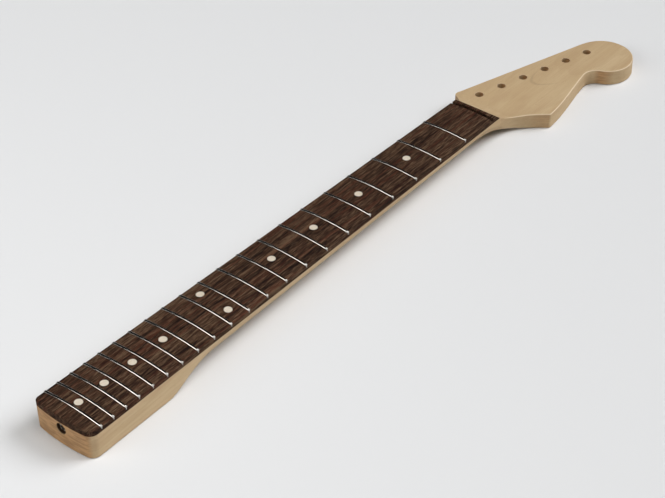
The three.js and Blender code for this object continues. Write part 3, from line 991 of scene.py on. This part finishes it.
    def build(self) -> Piece:
        """Makes the finished board.

        Returns:
            The finished mesh object.
        """
        board = self.skin().to_object("rosewood_board")
        carve(board, [self.scoop(), self.slots(), self.pockets()])
        return smooth_by_angle(board, self.smooth_angle)


@dataclass(frozen=True)
class FretWire:
    """A fret: a polished half-round crown with rounded ends on a tang in its slot."""

    crown_width: float = 2.1
    crown_height: float = 1.05
    lip: float = 0.15
    tang_thickness: float = 0.55
    tang_depth: float = 1.9
    tang_clear: float = 1.02
    seat_gap: float = 0.05
    end_bevel: float = math.radians(33)
    end_round: float = 0.16
    dome_steps: int = 14
    length_steps: int = 26
    end_steps: int = 5
    tip_share: float = 0.86
    tang_points: int = 4
    smooth_angle: float = 40.0

    def section(self, share: float) -> list[Pair]:
        """Returns the fret's section, with the crown drawn in by a share at its ends.

        Args:
            share: Size of the crown, a little under 1 at the tip and 1 along the fret.

        Returns:
            Places along the neck and heights, the tang first.
        """
        tang = self.tang_thickness / 2
        half = max(self.crown_width / 2 * share, tang * self.tang_clear)
        foot = [(-tang, 0.0), (-tang, -self.tang_depth), (tang, -self.tang_depth), (tang, 0.0)]
        dome = []
        for turn in spread(0.0, HALF_TURN, self.dome_steps):
            rise = self.lip + (self.crown_height - self.lip) * math.sin(turn)
            dome.append((half * math.cos(turn), rise * share))
        return [*foot, (half, 0.0), *dome, (-half, 0.0)]

    def rows(self) -> list[Point]:
        """Lists the sections from one end to the other.

        Returns:
            Place across the neck, distance drawn in and share of the crown for each.
        """
        tips = []
        for sine, cosine in quarter(self.end_steps):
            tips.append((self.end_round * (1 - cosine), mix(self.tip_share, 1.0, sine)))
        places = spread(1.0, -2.0, self.length_steps)[1:-1]
        first = [(1.0, *tip) for tip in tips]
        last = [(-1.0, *tip) for tip in reversed(tips)]
        return [*first, *((place, self.end_round, 1.0) for place in places), *last]

    def build(self, number: int) -> Piece:
        """Makes one fret.

        Args:
            number: Its number from the nut.

        Returns:
            The finished mesh object.
        """
        x = SIZES.fret_x(number)
        rings = []
        for place, drawn, share in self.rows():
            ring = []
            for index, (along, height) in enumerate(self.section(share)):
                tip = SIZES.half_width(x + along)
                if index >= self.tang_points:
                    tip -= height * math.tan(self.end_bevel) + drawn
                y = place * tip
                ring.append((x + along, y, SIZES.crown(y) + self.seat_gap + height))
            rings.append(ring)
        return smooth_by_angle(Skin().loft(rings).to_object(f"fret_wire_{number:02d}"), self.smooth_angle)


@dataclass(frozen=True)
class Grain:
    """Stretched noise, and how it mixes a colour in.

    Scale is per metre. The colour's share grows from 0 where the noise is low to most where it is high.
    Where grains are summed, most is the weight.
    """

    scale: Point
    detail: float
    rough: float
    shift: Point = ORIGIN
    low: float = 0.0
    high: float = 1.0
    most: float = 1.0


class Nodes:
    """Adds nodes to one tree, with short calls for the nodes that wood and metal need."""

    def __init__(self, tree: bpy.types.NodeTree) -> None:
        """Takes the tree to add to."""
        self.tree = tree

    def feed(self, target: Socket, value: object) -> None:
        """Links a socket to another, or sets it.

        Args:
            target: The socket.
            value: The other socket, or a plain value.
        """
        if isinstance(value, Socket):
            self.tree.links.new(value, target)
        else:
            target.default_value = (*value, 1.0) if target.type == "RGBA" else value

    def add(self, kind: str, inputs: Feeds, **settings: object) -> bpy.types.Node:
        """Adds a node, sets its properties and feeds its inputs.

        Args:
            kind: The node's type, without the part that all types share.
            inputs: Values or sockets, by the name or place of the input.
            settings: Values of the node's own properties.

        Returns:
            The new node.
        """
        made = adjust(self.tree.nodes.new(f"ShaderNode{kind}"), **settings)
        for key, value in inputs.items():
            self.feed(made.inputs[key], value)
        return made

    def axis(self, vector: Socket, name: str) -> Socket:
        """Returns one part of a vector, X, Y or Z."""
        return self.add("SeparateXYZ", {0: vector}).outputs[name]

    def math(self, operation: str, *values: object) -> Socket:
        """Works out a sum of one value, or of several in turn.

        Args:
            operation: Name of the sum.
            values: Sockets or numbers.

        Returns:
            The result.
        """
        total = values[0]
        for value in values[1:] or (0.0,):
            total = self.add("Math", {0: total, 1: value}, operation=operation).outputs[0]
        return total

    def total(self, *terms: tuple[object, float]) -> Socket:
        """Returns the sum of values, each times its weight."""
        return self.math("ADD", *(self.math("MULTIPLY", *term) for term in terms))

    def span(self, value: object, low: float, high: float, least: float = 0.0, most: float = 1.0) -> Socket:
        """Maps the range from low to high smoothly onto least to most, held at both ends."""
        inputs = {"Value": value, "From Min": low, "From Max": high, "To Min": least, "To Max": most}
        return self.add("MapRange", inputs, interpolation_type="SMOOTHSTEP", clamp=True).outputs["Result"]

    def blend(self, share: object, first: object, second: object) -> Socket:
        """Mixes two colours.

        Args:
            share: Share of the second.
            first: The first.
            second: The second.

        Returns:
            The mixed colour.
        """
        made = self.add("Mix", {"Factor": share}, data_type="RGBA", clamp_factor=True)
        for socket, value in zip((s for s in made.inputs if s.type == "RGBA"), (first, second)):
            self.feed(socket, value)
        return next(socket for socket in made.outputs if socket.type == "RGBA")

    def ramp(self, value: object, stops: Sequence[tuple[float, Colour]]) -> Socket:
        """Turns a value into a colour.

        Args:
            value: The value, from 0 to 1.
            stops: Spots on the way and their colours.

        Returns:
            The colour.
        """
        made = self.add("ValToRGB", {"Fac": value})
        elements = made.color_ramp.elements
        while len(elements) < len(stops):
            elements.new(1.0)
        for element, (spot, colour) in zip(elements, stops):
            adjust(element, position=spot, color=(*colour, 1.0))
        return made.outputs["Color"]


class Shader(Nodes):
    """Builds one material. Its grains follow flow, at first the object's own coordinates."""

    def __init__(self, name: str) -> None:
        """Starts a material with a principled shader.

        Args:
            name: Name of the finish.
        """
        self.material = adjust(bpy.data.materials.new(name), use_nodes=True)
        super().__init__(self.material.node_tree)
        self.surface = next(n for n in self.tree.nodes if n.type == "BSDF_PRINCIPLED")
        self.place = self.add("TexCoord", {}).outputs["Object"]
        self.flow = self.place
        self.noises: dict[Grain, bpy.types.Node] = {}

    def mapped(self, source: Socket, scale: Point, shift: Point = ORIGIN, turn: Point = ORIGIN) -> Socket:
        """Returns coordinates scaled, turned by radians and then shifted."""
        inputs = {"Vector": source, "Scale": scale, "Location": shift, "Rotation": turn}
        return self.add("Mapping", inputs).outputs["Vector"]

    def about(self, centre: Point, turn: Point) -> Socket:
        """Returns the object's own coordinates from a centre, turned by radians."""
        moved = self.mapped(self.place, UNIT, tuple(-v for v in centre))
        return self.mapped(moved, UNIT, turn=turn)

    def noise(self, grain: Grain, output: str = "Fac") -> Socket:
        """Makes a grain's noise, once for each grain.

        Args:
            grain: The grain.
            output: Fac for its value, from 0 to 1, or Color.

        Returns:
            The noise.
        """
        if grain not in self.noises:
            place = self.mapped(self.flow, grain.scale, grain.shift)
            inputs = {"Vector": place, "Scale": 1.0, "Detail": grain.detail, "Roughness": grain.rough}
            self.noises[grain] = self.add("TexNoise", inputs)
        return self.noises[grain].outputs[output]

    def swayed(self, place: Socket, grain: Grain, reach: Point) -> Socket:
        """Returns coordinates that a grain's colours move by up to a reach."""
        inputs = {0: self.noise(grain, "Color"), 1: reach, 2: place}
        return self.add("VectorMath", inputs, operation="MULTIPLY_ADD").outputs[0]

    def stain(self, colour: object, grain: Grain, tint: Colour) -> Socket:
        """Mixes a tint into a colour by a grain and returns the result."""
        share = self.span(self.noise(grain), grain.low, grain.high, 0.0, grain.most)
        return self.blend(share, colour, tint)

    def bump(self, height: Socket, depth: float, share: float) -> None:
        """Raises the surface in shading, by a height from 0 to 1 times a depth in metres."""
        made = self.add("Bump", {"Height": height, "Distance": depth, "Strength": share})
        self.feed(self.surface.inputs["Normal"], made.outputs["Normal"])

    def set(self, **values: object) -> Material:
        """Sets the principled shader.

        Args:
            values: Values by socket, with spaces as underscores.

        Returns:
            The material.
        """
        for key, value in values.items():
            self.feed(self.surface.inputs[key.replace("_", " ")], value)
        return self.material


@dataclass(frozen=True)
class RawMaple:
    """Bare sanded maple with growth rings about a pith under the neck, with painted shade inside the rod's
    hole and a painted highlight on the headstock's rounded edges.

    A range holds the value at which a share is 0 and the one at which it is 1. A relief is a depth in
    metres and the share of it that shows. A rough_range holds a range of noise and the roughness at
    its two ends.
    """

    light: Colour = (0.552, 0.410, 0.240)
    tan: Colour = (0.494, 0.352, 0.196)
    ring_line: Colour = (0.430, 0.290, 0.158)
    end_grain: Colour = (0.475, 0.258, 0.106)
    fleck: Colour = (0.300, 0.180, 0.088)
    arch_line: Colour = (0.330, 0.238, 0.132)
    stroke: Colour = (0.235, 0.115, 0.046)
    # Painted shade: the dark brown laid inside the rod's round hole.
    bore_painted_shade: Colour = (0.045, 0.022, 0.010)
    # Painted highlight: a pale colour laid on the headstock's rounded edges in place of the light that they
    # catch.
    painted_edge_highlight: Colour = (0.68, 0.54, 0.37)
    sway: Grain = Grain((9, 38, 38), 3.0, 0.5, most=0.55)
    band: Grain = Grain((5, 120, 120), 4.0, 0.6, most=0.45)
    wobble: Grain = Grain((7, 30, 30), 3.0, 0.5)
    patches: Grain = Grain((22, 70, 70), 2.0, 0.5, (3.0, 2.0, 6.0), 0.5, 0.68, 0.4)
    lines: Grain = Grain((14, 560, 560), 3.0, 0.65, (1.0, 6.0, 3.0), 0.44, 0.66, 0.26)
    fibre: Grain = Grain((38, 1500, 1500), 3.0, 0.6, ORIGIN, 0.35, 0.7, 0.16)
    flecks: Grain = Grain((190, 3200, 3200), 1.0, 0.4, (3.0, 1.0, 2.0), 0.66, 0.74, 0.32)
    pores: Grain = Grain((900, 5200, 5200), 1.0, 0.4, ORIGIN, 0.4, 0.66, 0.45)
    strokes: Grain = Grain((60, 95, 620), 2.0, 0.5, (2.0, 5.0, 1.0), 0.42, 0.6, 0.75)
    tone_range: Pair = (0.41, 0.59)
    pith: Point = (0.52, -0.012, -0.105)
    pith_turn: Point = (0.0, math.radians(2.6), math.radians(1.2))
    wobble_reach: Point = (0.0, 0.007, 0.007)
    ring_spacing: float = 0.0042
    late_range: Pair = (0.45, 1.0)
    late_share: float = 0.26
    late_share_cut: float = 0.2
    arch_tip: Point = (0.5122, -0.006, 0.0)
    arch_turn: Point = (0.0, 0.0, math.radians(16.7))
    arch_bow: float = 100.0
    arch_sway: float = 0.006
    arch_width: Pair = (0.0027, 0.0003)
    arch_fade: Pair = (0.024, 0.002)
    arch_share: float = 0.42
    end_range: Pair = (0.62, 0.97)
    end_share: float = 0.8
    bore_shift: Point = (0.0, 0.0, -0.015)
    bore_radius: float = 0.00475
    bore_mouth: Pair = (-0.0378, -0.0372)
    bore_end: float = -0.02
    rim_start: Pair = (0.2, 0.55)
    rim_end: Pair = (0.97, 0.8)
    edge_highlight_share: float = 0.85
    head_range: Pair = (0.445, 0.457)
    fibre_height: float = 0.7
    fleck_height: float = 0.5
    relief: Pair = (0.00012, 0.35)
    rough_range: Range = (0.3, 0.75, 0.54, 0.72)
    shine: float = 0.2

    def late_wood(self, s: Shader) -> Socket:
        """Draws the growth rings.

        Args:
            s: The shader.

        Returns:
            Share of dark late wood.
        """
        place = s.swayed(s.about(self.pith, self.pith_turn), self.wobble, self.wobble_reach)
        scale = FULL_TURN / WAVE_RADIANS_PER_METRE / self.ring_spacing
        kinds = {"wave_type": "RINGS", "rings_direction": "X", "wave_profile": "SAW"}
        rings = s.add("TexWave", {"Vector": place, "Scale": scale}, **kinds)
        return s.span(rings.outputs["Fac"], *self.late_range)

    def arch(self, s: Shader) -> Socket:
        """Draws the faint arch of figure on the headstock.

        Args:
            s: The shader.

        Returns:
            Its share.
        """
        place = s.about(self.arch_tip, self.arch_turn)
        run, side = s.axis(place, "X"), s.axis(place, "Y")
        sway = s.math("SUBTRACT", s.noise(self.band), NOISE_MIDDLE)
        bow = s.total((run, 1.0), (s.math("MULTIPLY", side, side), -self.arch_bow), (sway, self.arch_sway))
        line = s.span(s.math("ABSOLUTE", bow), *self.arch_width)
        return s.math("MULTIPLY", line, s.span(run, *self.arch_fade), self.arch_share)

    def bore(self, s: Shader, along: Socket) -> Socket:
        """Finds the rod's round hole, whose inside is painted dark brown as shade.

        Args:
            s: The shader.
            along: Place along the neck.

        Returns:
            1 inside the hole and 0 elsewhere.
        """
        place = s.mapped(s.place, ACROSS_ONLY, self.bore_shift)
        reach = s.add("VectorMath", {0: place}, operation="LENGTH").outputs["Value"]
        inside = s.math("LESS_THAN", reach, self.bore_radius)
        near = s.math("LESS_THAN", along, self.bore_end)
        return s.math("MULTIPLY", inside, s.span(along, *self.bore_mouth), near)

    def material(self) -> Material:
        """Builds the finish.

        Returns:
            The material.
        """
        s = Shader("raw_maple")
        late, fibre = self.late_wood(s), s.noise(self.fibre)
        tone = s.total(*((s.noise(grain), grain.most) for grain in (self.sway, self.band)))
        colour = s.blend(s.span(tone, *self.tone_range), self.tan, self.light)
        colour = s.stain(colour, self.patches, self.ring_line)
        colour = s.blend(s.math("MULTIPLY", late, self.late_share), colour, self.ring_line)
        for grain in (self.lines, self.fibre):
            colour = s.stain(colour, grain, self.ring_line)
        colour = s.blend(self.arch(s), colour, self.arch_line)
        colour = s.stain(colour, self.flecks, self.fleck)
        cut = s.stain(self.end_grain, self.pores, self.fleck)
        cut = s.blend(s.math("MULTIPLY", late, self.late_share_cut), cut, self.fleck)
        cut = s.stain(cut, self.strokes, self.stroke)
        facing = s.add("NewGeometry", {}).outputs["Normal"]
        lengthwise, tilt = (s.math("ABSOLUTE", s.axis(facing, name)) for name in "XZ")
        end = s.math("MULTIPLY", s.span(lengthwise, *self.end_range), self.end_share)
        along = s.axis(s.place, "X")
        # Painted highlight along the headstock's rounded edges: faces past the nut that tilt between flat
        # and upright are lightened.
        slope = [s.span(tilt, *part) for part in (self.rim_start, self.rim_end)]
        rim = s.math("MULTIPLY", *slope, s.span(along, *self.head_range), self.edge_highlight_share)
        # The rod's hole is painted dark as shade, and the headstock's rounded edges get a painted
        # highlight.
        for share, tint in ((end, cut), (self.bore(s, along), self.bore_painted_shade), (rim, self.painted_edge_highlight)):
            colour = s.blend(share, colour, tint)
        height = s.total((fibre, self.fibre_height), (s.noise(self.flecks), self.fleck_height))
        s.bump(height, *self.relief)
        rough = s.span(fibre, *self.rough_range)
        return s.set(Base_Color=colour, Roughness=rough, Specular_IOR_Level=self.shine)


@dataclass(frozen=True)
class DarkRosewood:
    """Bare rosewood: long streaks of dark, red and grey brown with open pores."""

    darkest: Colour = (0.008, 0.004, 0.003)
    deep: Colour = (0.020, 0.010, 0.006)
    brown: Colour = (0.052, 0.025, 0.014)
    red: Colour = (0.094, 0.029, 0.016)
    tan: Colour = (0.146, 0.089, 0.052)
    pore: Colour = (0.006, 0.003, 0.002)
    spots: tuple[float, ...] = (0.41, 0.465, 0.515, 0.60)
    drift: Grain = Grain((14, 60, 60), 2.0, 0.5)
    drift_reach: Point = (0.0, 0.0022, 0.0022)
    broad: Grain = Grain((7, 260, 260), 3.0, 0.55, most=0.35)
    streak: Grain = Grain((80, 1450, 1450), 4.0, 0.7, (5.0, 2.0, 1.0), most=0.65)
    hue: Grain = Grain((10, 330, 330), 3.0, 0.5, (9.0, 3.0, 6.0), 0.5, 0.66, 0.48)
    light: Grain = Grain((90, 1600, 1600), 3.0, 0.6, (2.0, 8.0, 3.0), 0.55, 0.68, 0.7)
    fine: Grain = Grain((190, 2400, 2400), 2.0, 0.6, (1.0, 4.0, 7.0), 0.52, 0.66, 0.65)
    pores: Grain = Grain((260, 3800, 3800), 1.0, 0.4, (4.0, 4.0, 4.0), 0.64, 0.72, 0.8)
    streak_height: float = 0.4
    pore_height: float = -1.0
    relief: Pair = (0.00018, 0.5)
    rough_range: Range = (0.35, 0.7, 0.7, 0.92)
    shine: float = 0.06

    def material(self) -> Material:
        """Builds the finish.

        Returns:
            The material.
        """
        s = Shader("dark_rosewood")
        opening = s.span(s.noise(self.pores), self.pores.low, self.pores.high)
        # The pores run straight, and every grain made after them sways.
        s.flow = s.swayed(s.place, self.drift, self.drift_reach)
        depth = s.total(*((s.noise(grain), grain.most) for grain in (self.broad, self.streak)))
        colour = s.ramp(depth, tuple(zip(self.spots, (self.darkest, self.deep, self.brown, self.tan))))
        for grain, tint in ((self.hue, self.red), (self.light, self.tan), (self.fine, self.darkest)):
            colour = s.stain(colour, grain, tint)
        colour = s.blend(s.math("MULTIPLY", opening, self.pores.most), colour, self.pore)
        streak = s.noise(self.streak)
        s.bump(s.total((streak, self.streak_height), (opening, self.pore_height)), *self.relief)
        rough = s.span(streak, *self.rough_range)
        return s.set(Base_Color=colour, Roughness=rough, Specular_IOR_Level=self.shine)


@dataclass(frozen=True)
class SmoothFinish:
    """One colour clouded with another under fine marks.

    The roughness follows the marks, or the cloud where dulled is set.
    """

    name: str
    colour: Colour
    cloud_colour: Colour
    cloud: Grain
    marks: Grain
    relief: Pair
    rough_range: Range
    metallic: float = 1.0
    dulled: bool = False

    def material(self) -> Material:
        """Builds the finish.

        Returns:
            The material.
        """
        s = Shader(self.name)
        colour = s.stain(self.colour, self.cloud, self.cloud_colour)
        s.bump(s.noise(self.marks), *self.relief)
        rough = s.span(s.noise(self.cloud if self.dulled else self.marks), *self.rough_range)
        return s.set(Base_Color=colour, Metallic=self.metallic, Roughness=rough)


FINISHES: dict[Slot, RawMaple | DarkRosewood | SmoothFinish] = {
    Slot.MAPLE: RawMaple(),
    Slot.ROSEWOOD: DarkRosewood(),
    Slot.FRET_WIRE: SmoothFinish(
        name="polished_fret_wire",
        colour=(0.68, 0.65, 0.60),
        cloud_colour=(0.58, 0.545, 0.48),
        cloud=Grain((120, 260, 120), 3.0, 0.5, ORIGIN, 0.4, 0.65, 0.6),
        marks=Grain((6000, 120, 6000), 2.0, 0.6),
        relief=(0.00002, 0.1),
        rough_range=(0.3, 0.75, 0.07, 0.17),
    ),
    Slot.INLAY: SmoothFinish(
        name="cream_inlay",
        colour=(0.663, 0.590, 0.479),
        cloud_colour=(0.614, 0.531, 0.409),
        cloud=Grain((420, 420, 420), 4.0, 0.6, ORIGIN, 0.38, 0.66),
        marks=Grain((300, 5200, 5200), 2.0, 0.5),
        relief=(0.00002, 0.3),
        rough_range=(0.3, 0.7, 0.32, 0.48),
        metallic=0.0,
    ),
    Slot.ROD_STEEL: SmoothFinish(
        name="dull_steel",
        colour=(0.34, 0.32, 0.29),
        cloud_colour=(0.16, 0.125, 0.095),
        cloud=Grain((520, 520, 520), 5.0, 0.62, ORIGIN, 0.42, 0.64),
        marks=Grain((7000, 300, 300), 2.0, 0.5),
        relief=(0.00003, 0.4),
        rough_range=(0.35, 0.7, 0.32, 0.60),
        dulled=True,
    ),
}


class NeckBuilder:
    """Puts the pieces on their bodies and dresses them."""

    def __init__(self) -> None:
        """Makes the material of every slot."""
        self.materials = {slot: finish.material() for slot, finish in FINISHES.items()}

    def seat(self, piece: Piece, node: str, slot: Slot) -> None:
        """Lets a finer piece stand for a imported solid.

        Args:
            piece: The finer piece.
            node: The solid that it stands for.
            slot: The finish that it takes.
        """
        piece.data.materials.clear()
        piece.data.materials.append(self.materials[slot])
        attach(piece, NECK_BODY)
        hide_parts(node)
        log.info("%s: %d faces", piece.name, len(piece.data.polygons))

    def dress(self, name: str, slot: Slot) -> None:
        """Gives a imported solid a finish, in the slots that it has.

        Args:
            name: The solid's name.
            slot: The finish that it takes.
        """
        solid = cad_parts[name]
        for place in solid.material_slots:
            place.material = self.materials[slot]
        log.info("%s: %d faces", name, len(solid.data.polygons))

    def build(self) -> None:
        """Builds the finer pieces and dresses the solids that stay."""
        self.seat(MapleBlank().build(), "neck_blank", Slot.MAPLE)
        self.seat(Fingerboard().build(), "fingerboard", Slot.ROSEWOOD)
        for number in range(1, SIZES.fret_count + 1):
            self.seat(FretWire().build(number), f"fret_{number:02d}", Slot.FRET_WIRE)
        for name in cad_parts:
            if "_dot_" in name:
                self.dress(name, Slot.INLAY)
            elif name.startswith("truss_rod"):
                self.dress(name, Slot.ROD_STEEL)
        self.dress("channel_fillet", Slot.MAPLE)


def aim(data: bpy.types.ID, place: Vector, back: Vector, roll: float = 0.0) -> Piece:
    """Puts a lamp or camera in the scene.

    Args:
        data: The lamp or camera.
        place: Where it stands.
        back: Direction to it from what it looks at.
        roll: Turn about its own axis, in degrees.

    Returns:
        The new object.
    """
    turn = math.radians(roll)
    level = Vector((0.0, 0.0, 1.0)).cross(back).normalized()
    across = level * math.cos(turn) + back.cross(level) * math.sin(turn)
    axes = Matrix((across, back.cross(across), back)).transposed()
    return adjust(add_object(data), matrix_world=Matrix.Translation(place) @ axes.to_4x4())


def toward(azimuth: float, elevation: float) -> Vector:
    """Returns the direction to something that stands at an azimuth and elevation, in degrees."""
    a, e = math.radians(azimuth), math.radians(elevation)
    return Vector((math.sin(a) * math.cos(e), -math.cos(a) * math.cos(e), math.sin(e)))


@dataclass(frozen=True)
class Softbox:
    """A broad, far lamp that lights the whole floor evenly.

    Azimuth and elevation are where it stands, in degrees. The width is in degrees as seen from the neck,
    and the level is the light that reaches the neck, in watts per square metre.
    """

    name: str
    azimuth: float
    elevation: float
    width: float
    level: float
    colour: Colour = UNIT

    def build(self) -> None:
        """Hangs the lamp."""
        data = bpy.data.lights.new(self.name, "SUN")
        adjust(data, energy=self.level, color=self.colour, angle=math.radians(self.width))
        aim(data, Vector(), toward(self.azimuth, self.elevation))


@dataclass(frozen=True)
class Panel:
    """A rectangular lamp near the heel, which draws the bright line along each fret.

    Azimuth, elevation, distance and roll are where it stands about the target, in degrees and metres.
    """

    azimuth: float = -108.0
    elevation: float = 33.0
    distance: float = 1.6
    roll: float = -46.4
    width: float = 0.44
    height: float = 1.34
    power: float = 3.35
    spread: float = 104.0
    target: Point = (0.2294, 0.0, 0.0264)

    def build(self) -> None:
        """Hangs the lamp."""
        data = bpy.data.lights.new("heel_panel", "AREA")
        adjust(data, shape="RECTANGLE", size=self.width, size_y=self.height)
        adjust(data, energy=self.power, spread=math.radians(self.spread))
        back = toward(self.azimuth, self.elevation)
        aim(data, Vector(self.target) + back * self.distance, back, self.roll)


@dataclass(frozen=True)
class Studio:
    """Pale floor, soft lamps, plain world and the camera."""

    camera_place: Point = (-0.564057, -0.695235, 0.836489)
    camera_azimuth: float = -49.4527
    camera_elevation: float = 38.3026
    camera_roll: float = -1.4091
    focal_pixels: float = 1743.43
    picture_width: float = 665.0
    sensor_width: float = 36.0
    clip_start: float = 0.01
    clip_end: float = 50.0
    floor_colour: Colour = (0.735, 0.733, 0.725)
    floor_grain: Grain = Grain((300, 300, 300), 3.0, 0.5)
    floor_rough: Range = (0.3, 0.7, 0.78, 0.88)
    floor_shine: float = 0.2
    floor_size: float = 60.0
    floor_drop: float = 0.0003
    horizon_level: float = 0.74
    ceiling_level: float = 0.012
    horizon_top: float = 0.01
    ceiling_start: float = 0.07
    lamps: tuple[Softbox | Panel, ...] = (
        Softbox("key_softbox", 14.0, 75.0, 36.0, 1.08),
        Softbox("right_softbox", 55.0, 40.0, 36.0, 2.35, (0.98, 1.0, 1.04)),
        Softbox("left_softbox", -71.0, 36.0, 36.0, 0.36),
        Panel(),
    )

    def camera(self) -> None:
        """Makes the camera at the photograph's viewing angle."""
        lens = self.focal_pixels / self.picture_width * self.sensor_width
        data = adjust(bpy.data.cameras.new("camera"), sensor_width=self.sensor_width, lens=lens)
        adjust(data, clip_start=self.clip_start, clip_end=self.clip_end)
        back = toward(self.camera_azimuth, self.camera_elevation)
        bpy.context.scene.camera = aim(data, Vector(self.camera_place), back, self.camera_roll)

    def floor(self) -> None:
        """Makes the plain pale floor."""
        half = self.floor_size / 2
        corners = [(-half, -half), (half, -half), (half, half), (-half, half)]
        mesh = bpy.data.meshes.new("floor")
        mesh.from_pydata([(x, y, -self.floor_drop) for x, y in corners], [], [(0, 1, 2, 3)])
        s = Shader("floor_paint")
        rough = s.span(s.noise(self.floor_grain), *self.floor_rough)
        s.set(Base_Color=self.floor_colour, Roughness=rough, Specular_IOR_Level=self.floor_shine)
        mesh.materials.append(s.material)
        floor = add_object(mesh)

    def world(self) -> None:
        """Makes the room: pale walls that fade to a dimmer ceiling."""
        world = adjust(bpy.data.worlds.new("studio"), use_nodes=True)
        bpy.context.scene.world = world
        world.node_tree.nodes.clear()
        nodes = Nodes(world.node_tree)
        height = nodes.axis(nodes.add("TexCoord", {}).outputs["Generated"], "Z")
        levels = self.horizon_level, self.ceiling_level
        strength = nodes.span(height, self.horizon_top, self.ceiling_start, *levels)
        sky = nodes.add("Background", {"Color": UNIT, "Strength": strength})
        nodes.add("OutputWorld", {"Surface": sky.outputs[0]})

    def build(self) -> None:
        """Sets up everything round the neck."""
        self.camera()
        self.floor()
        self.world()
        for lamp in self.lamps:
            lamp.build()
        bpy.context.scene.view_settings.view_transform = "Standard"


def main() -> None:
    """Builds the studio and the neck, and reports each piece."""
    logging.basicConfig(level=logging.INFO, format="%(name)s %(message)s")
    Studio().build()
    NeckBuilder().build()


if __name__ == "__main__":
    main()
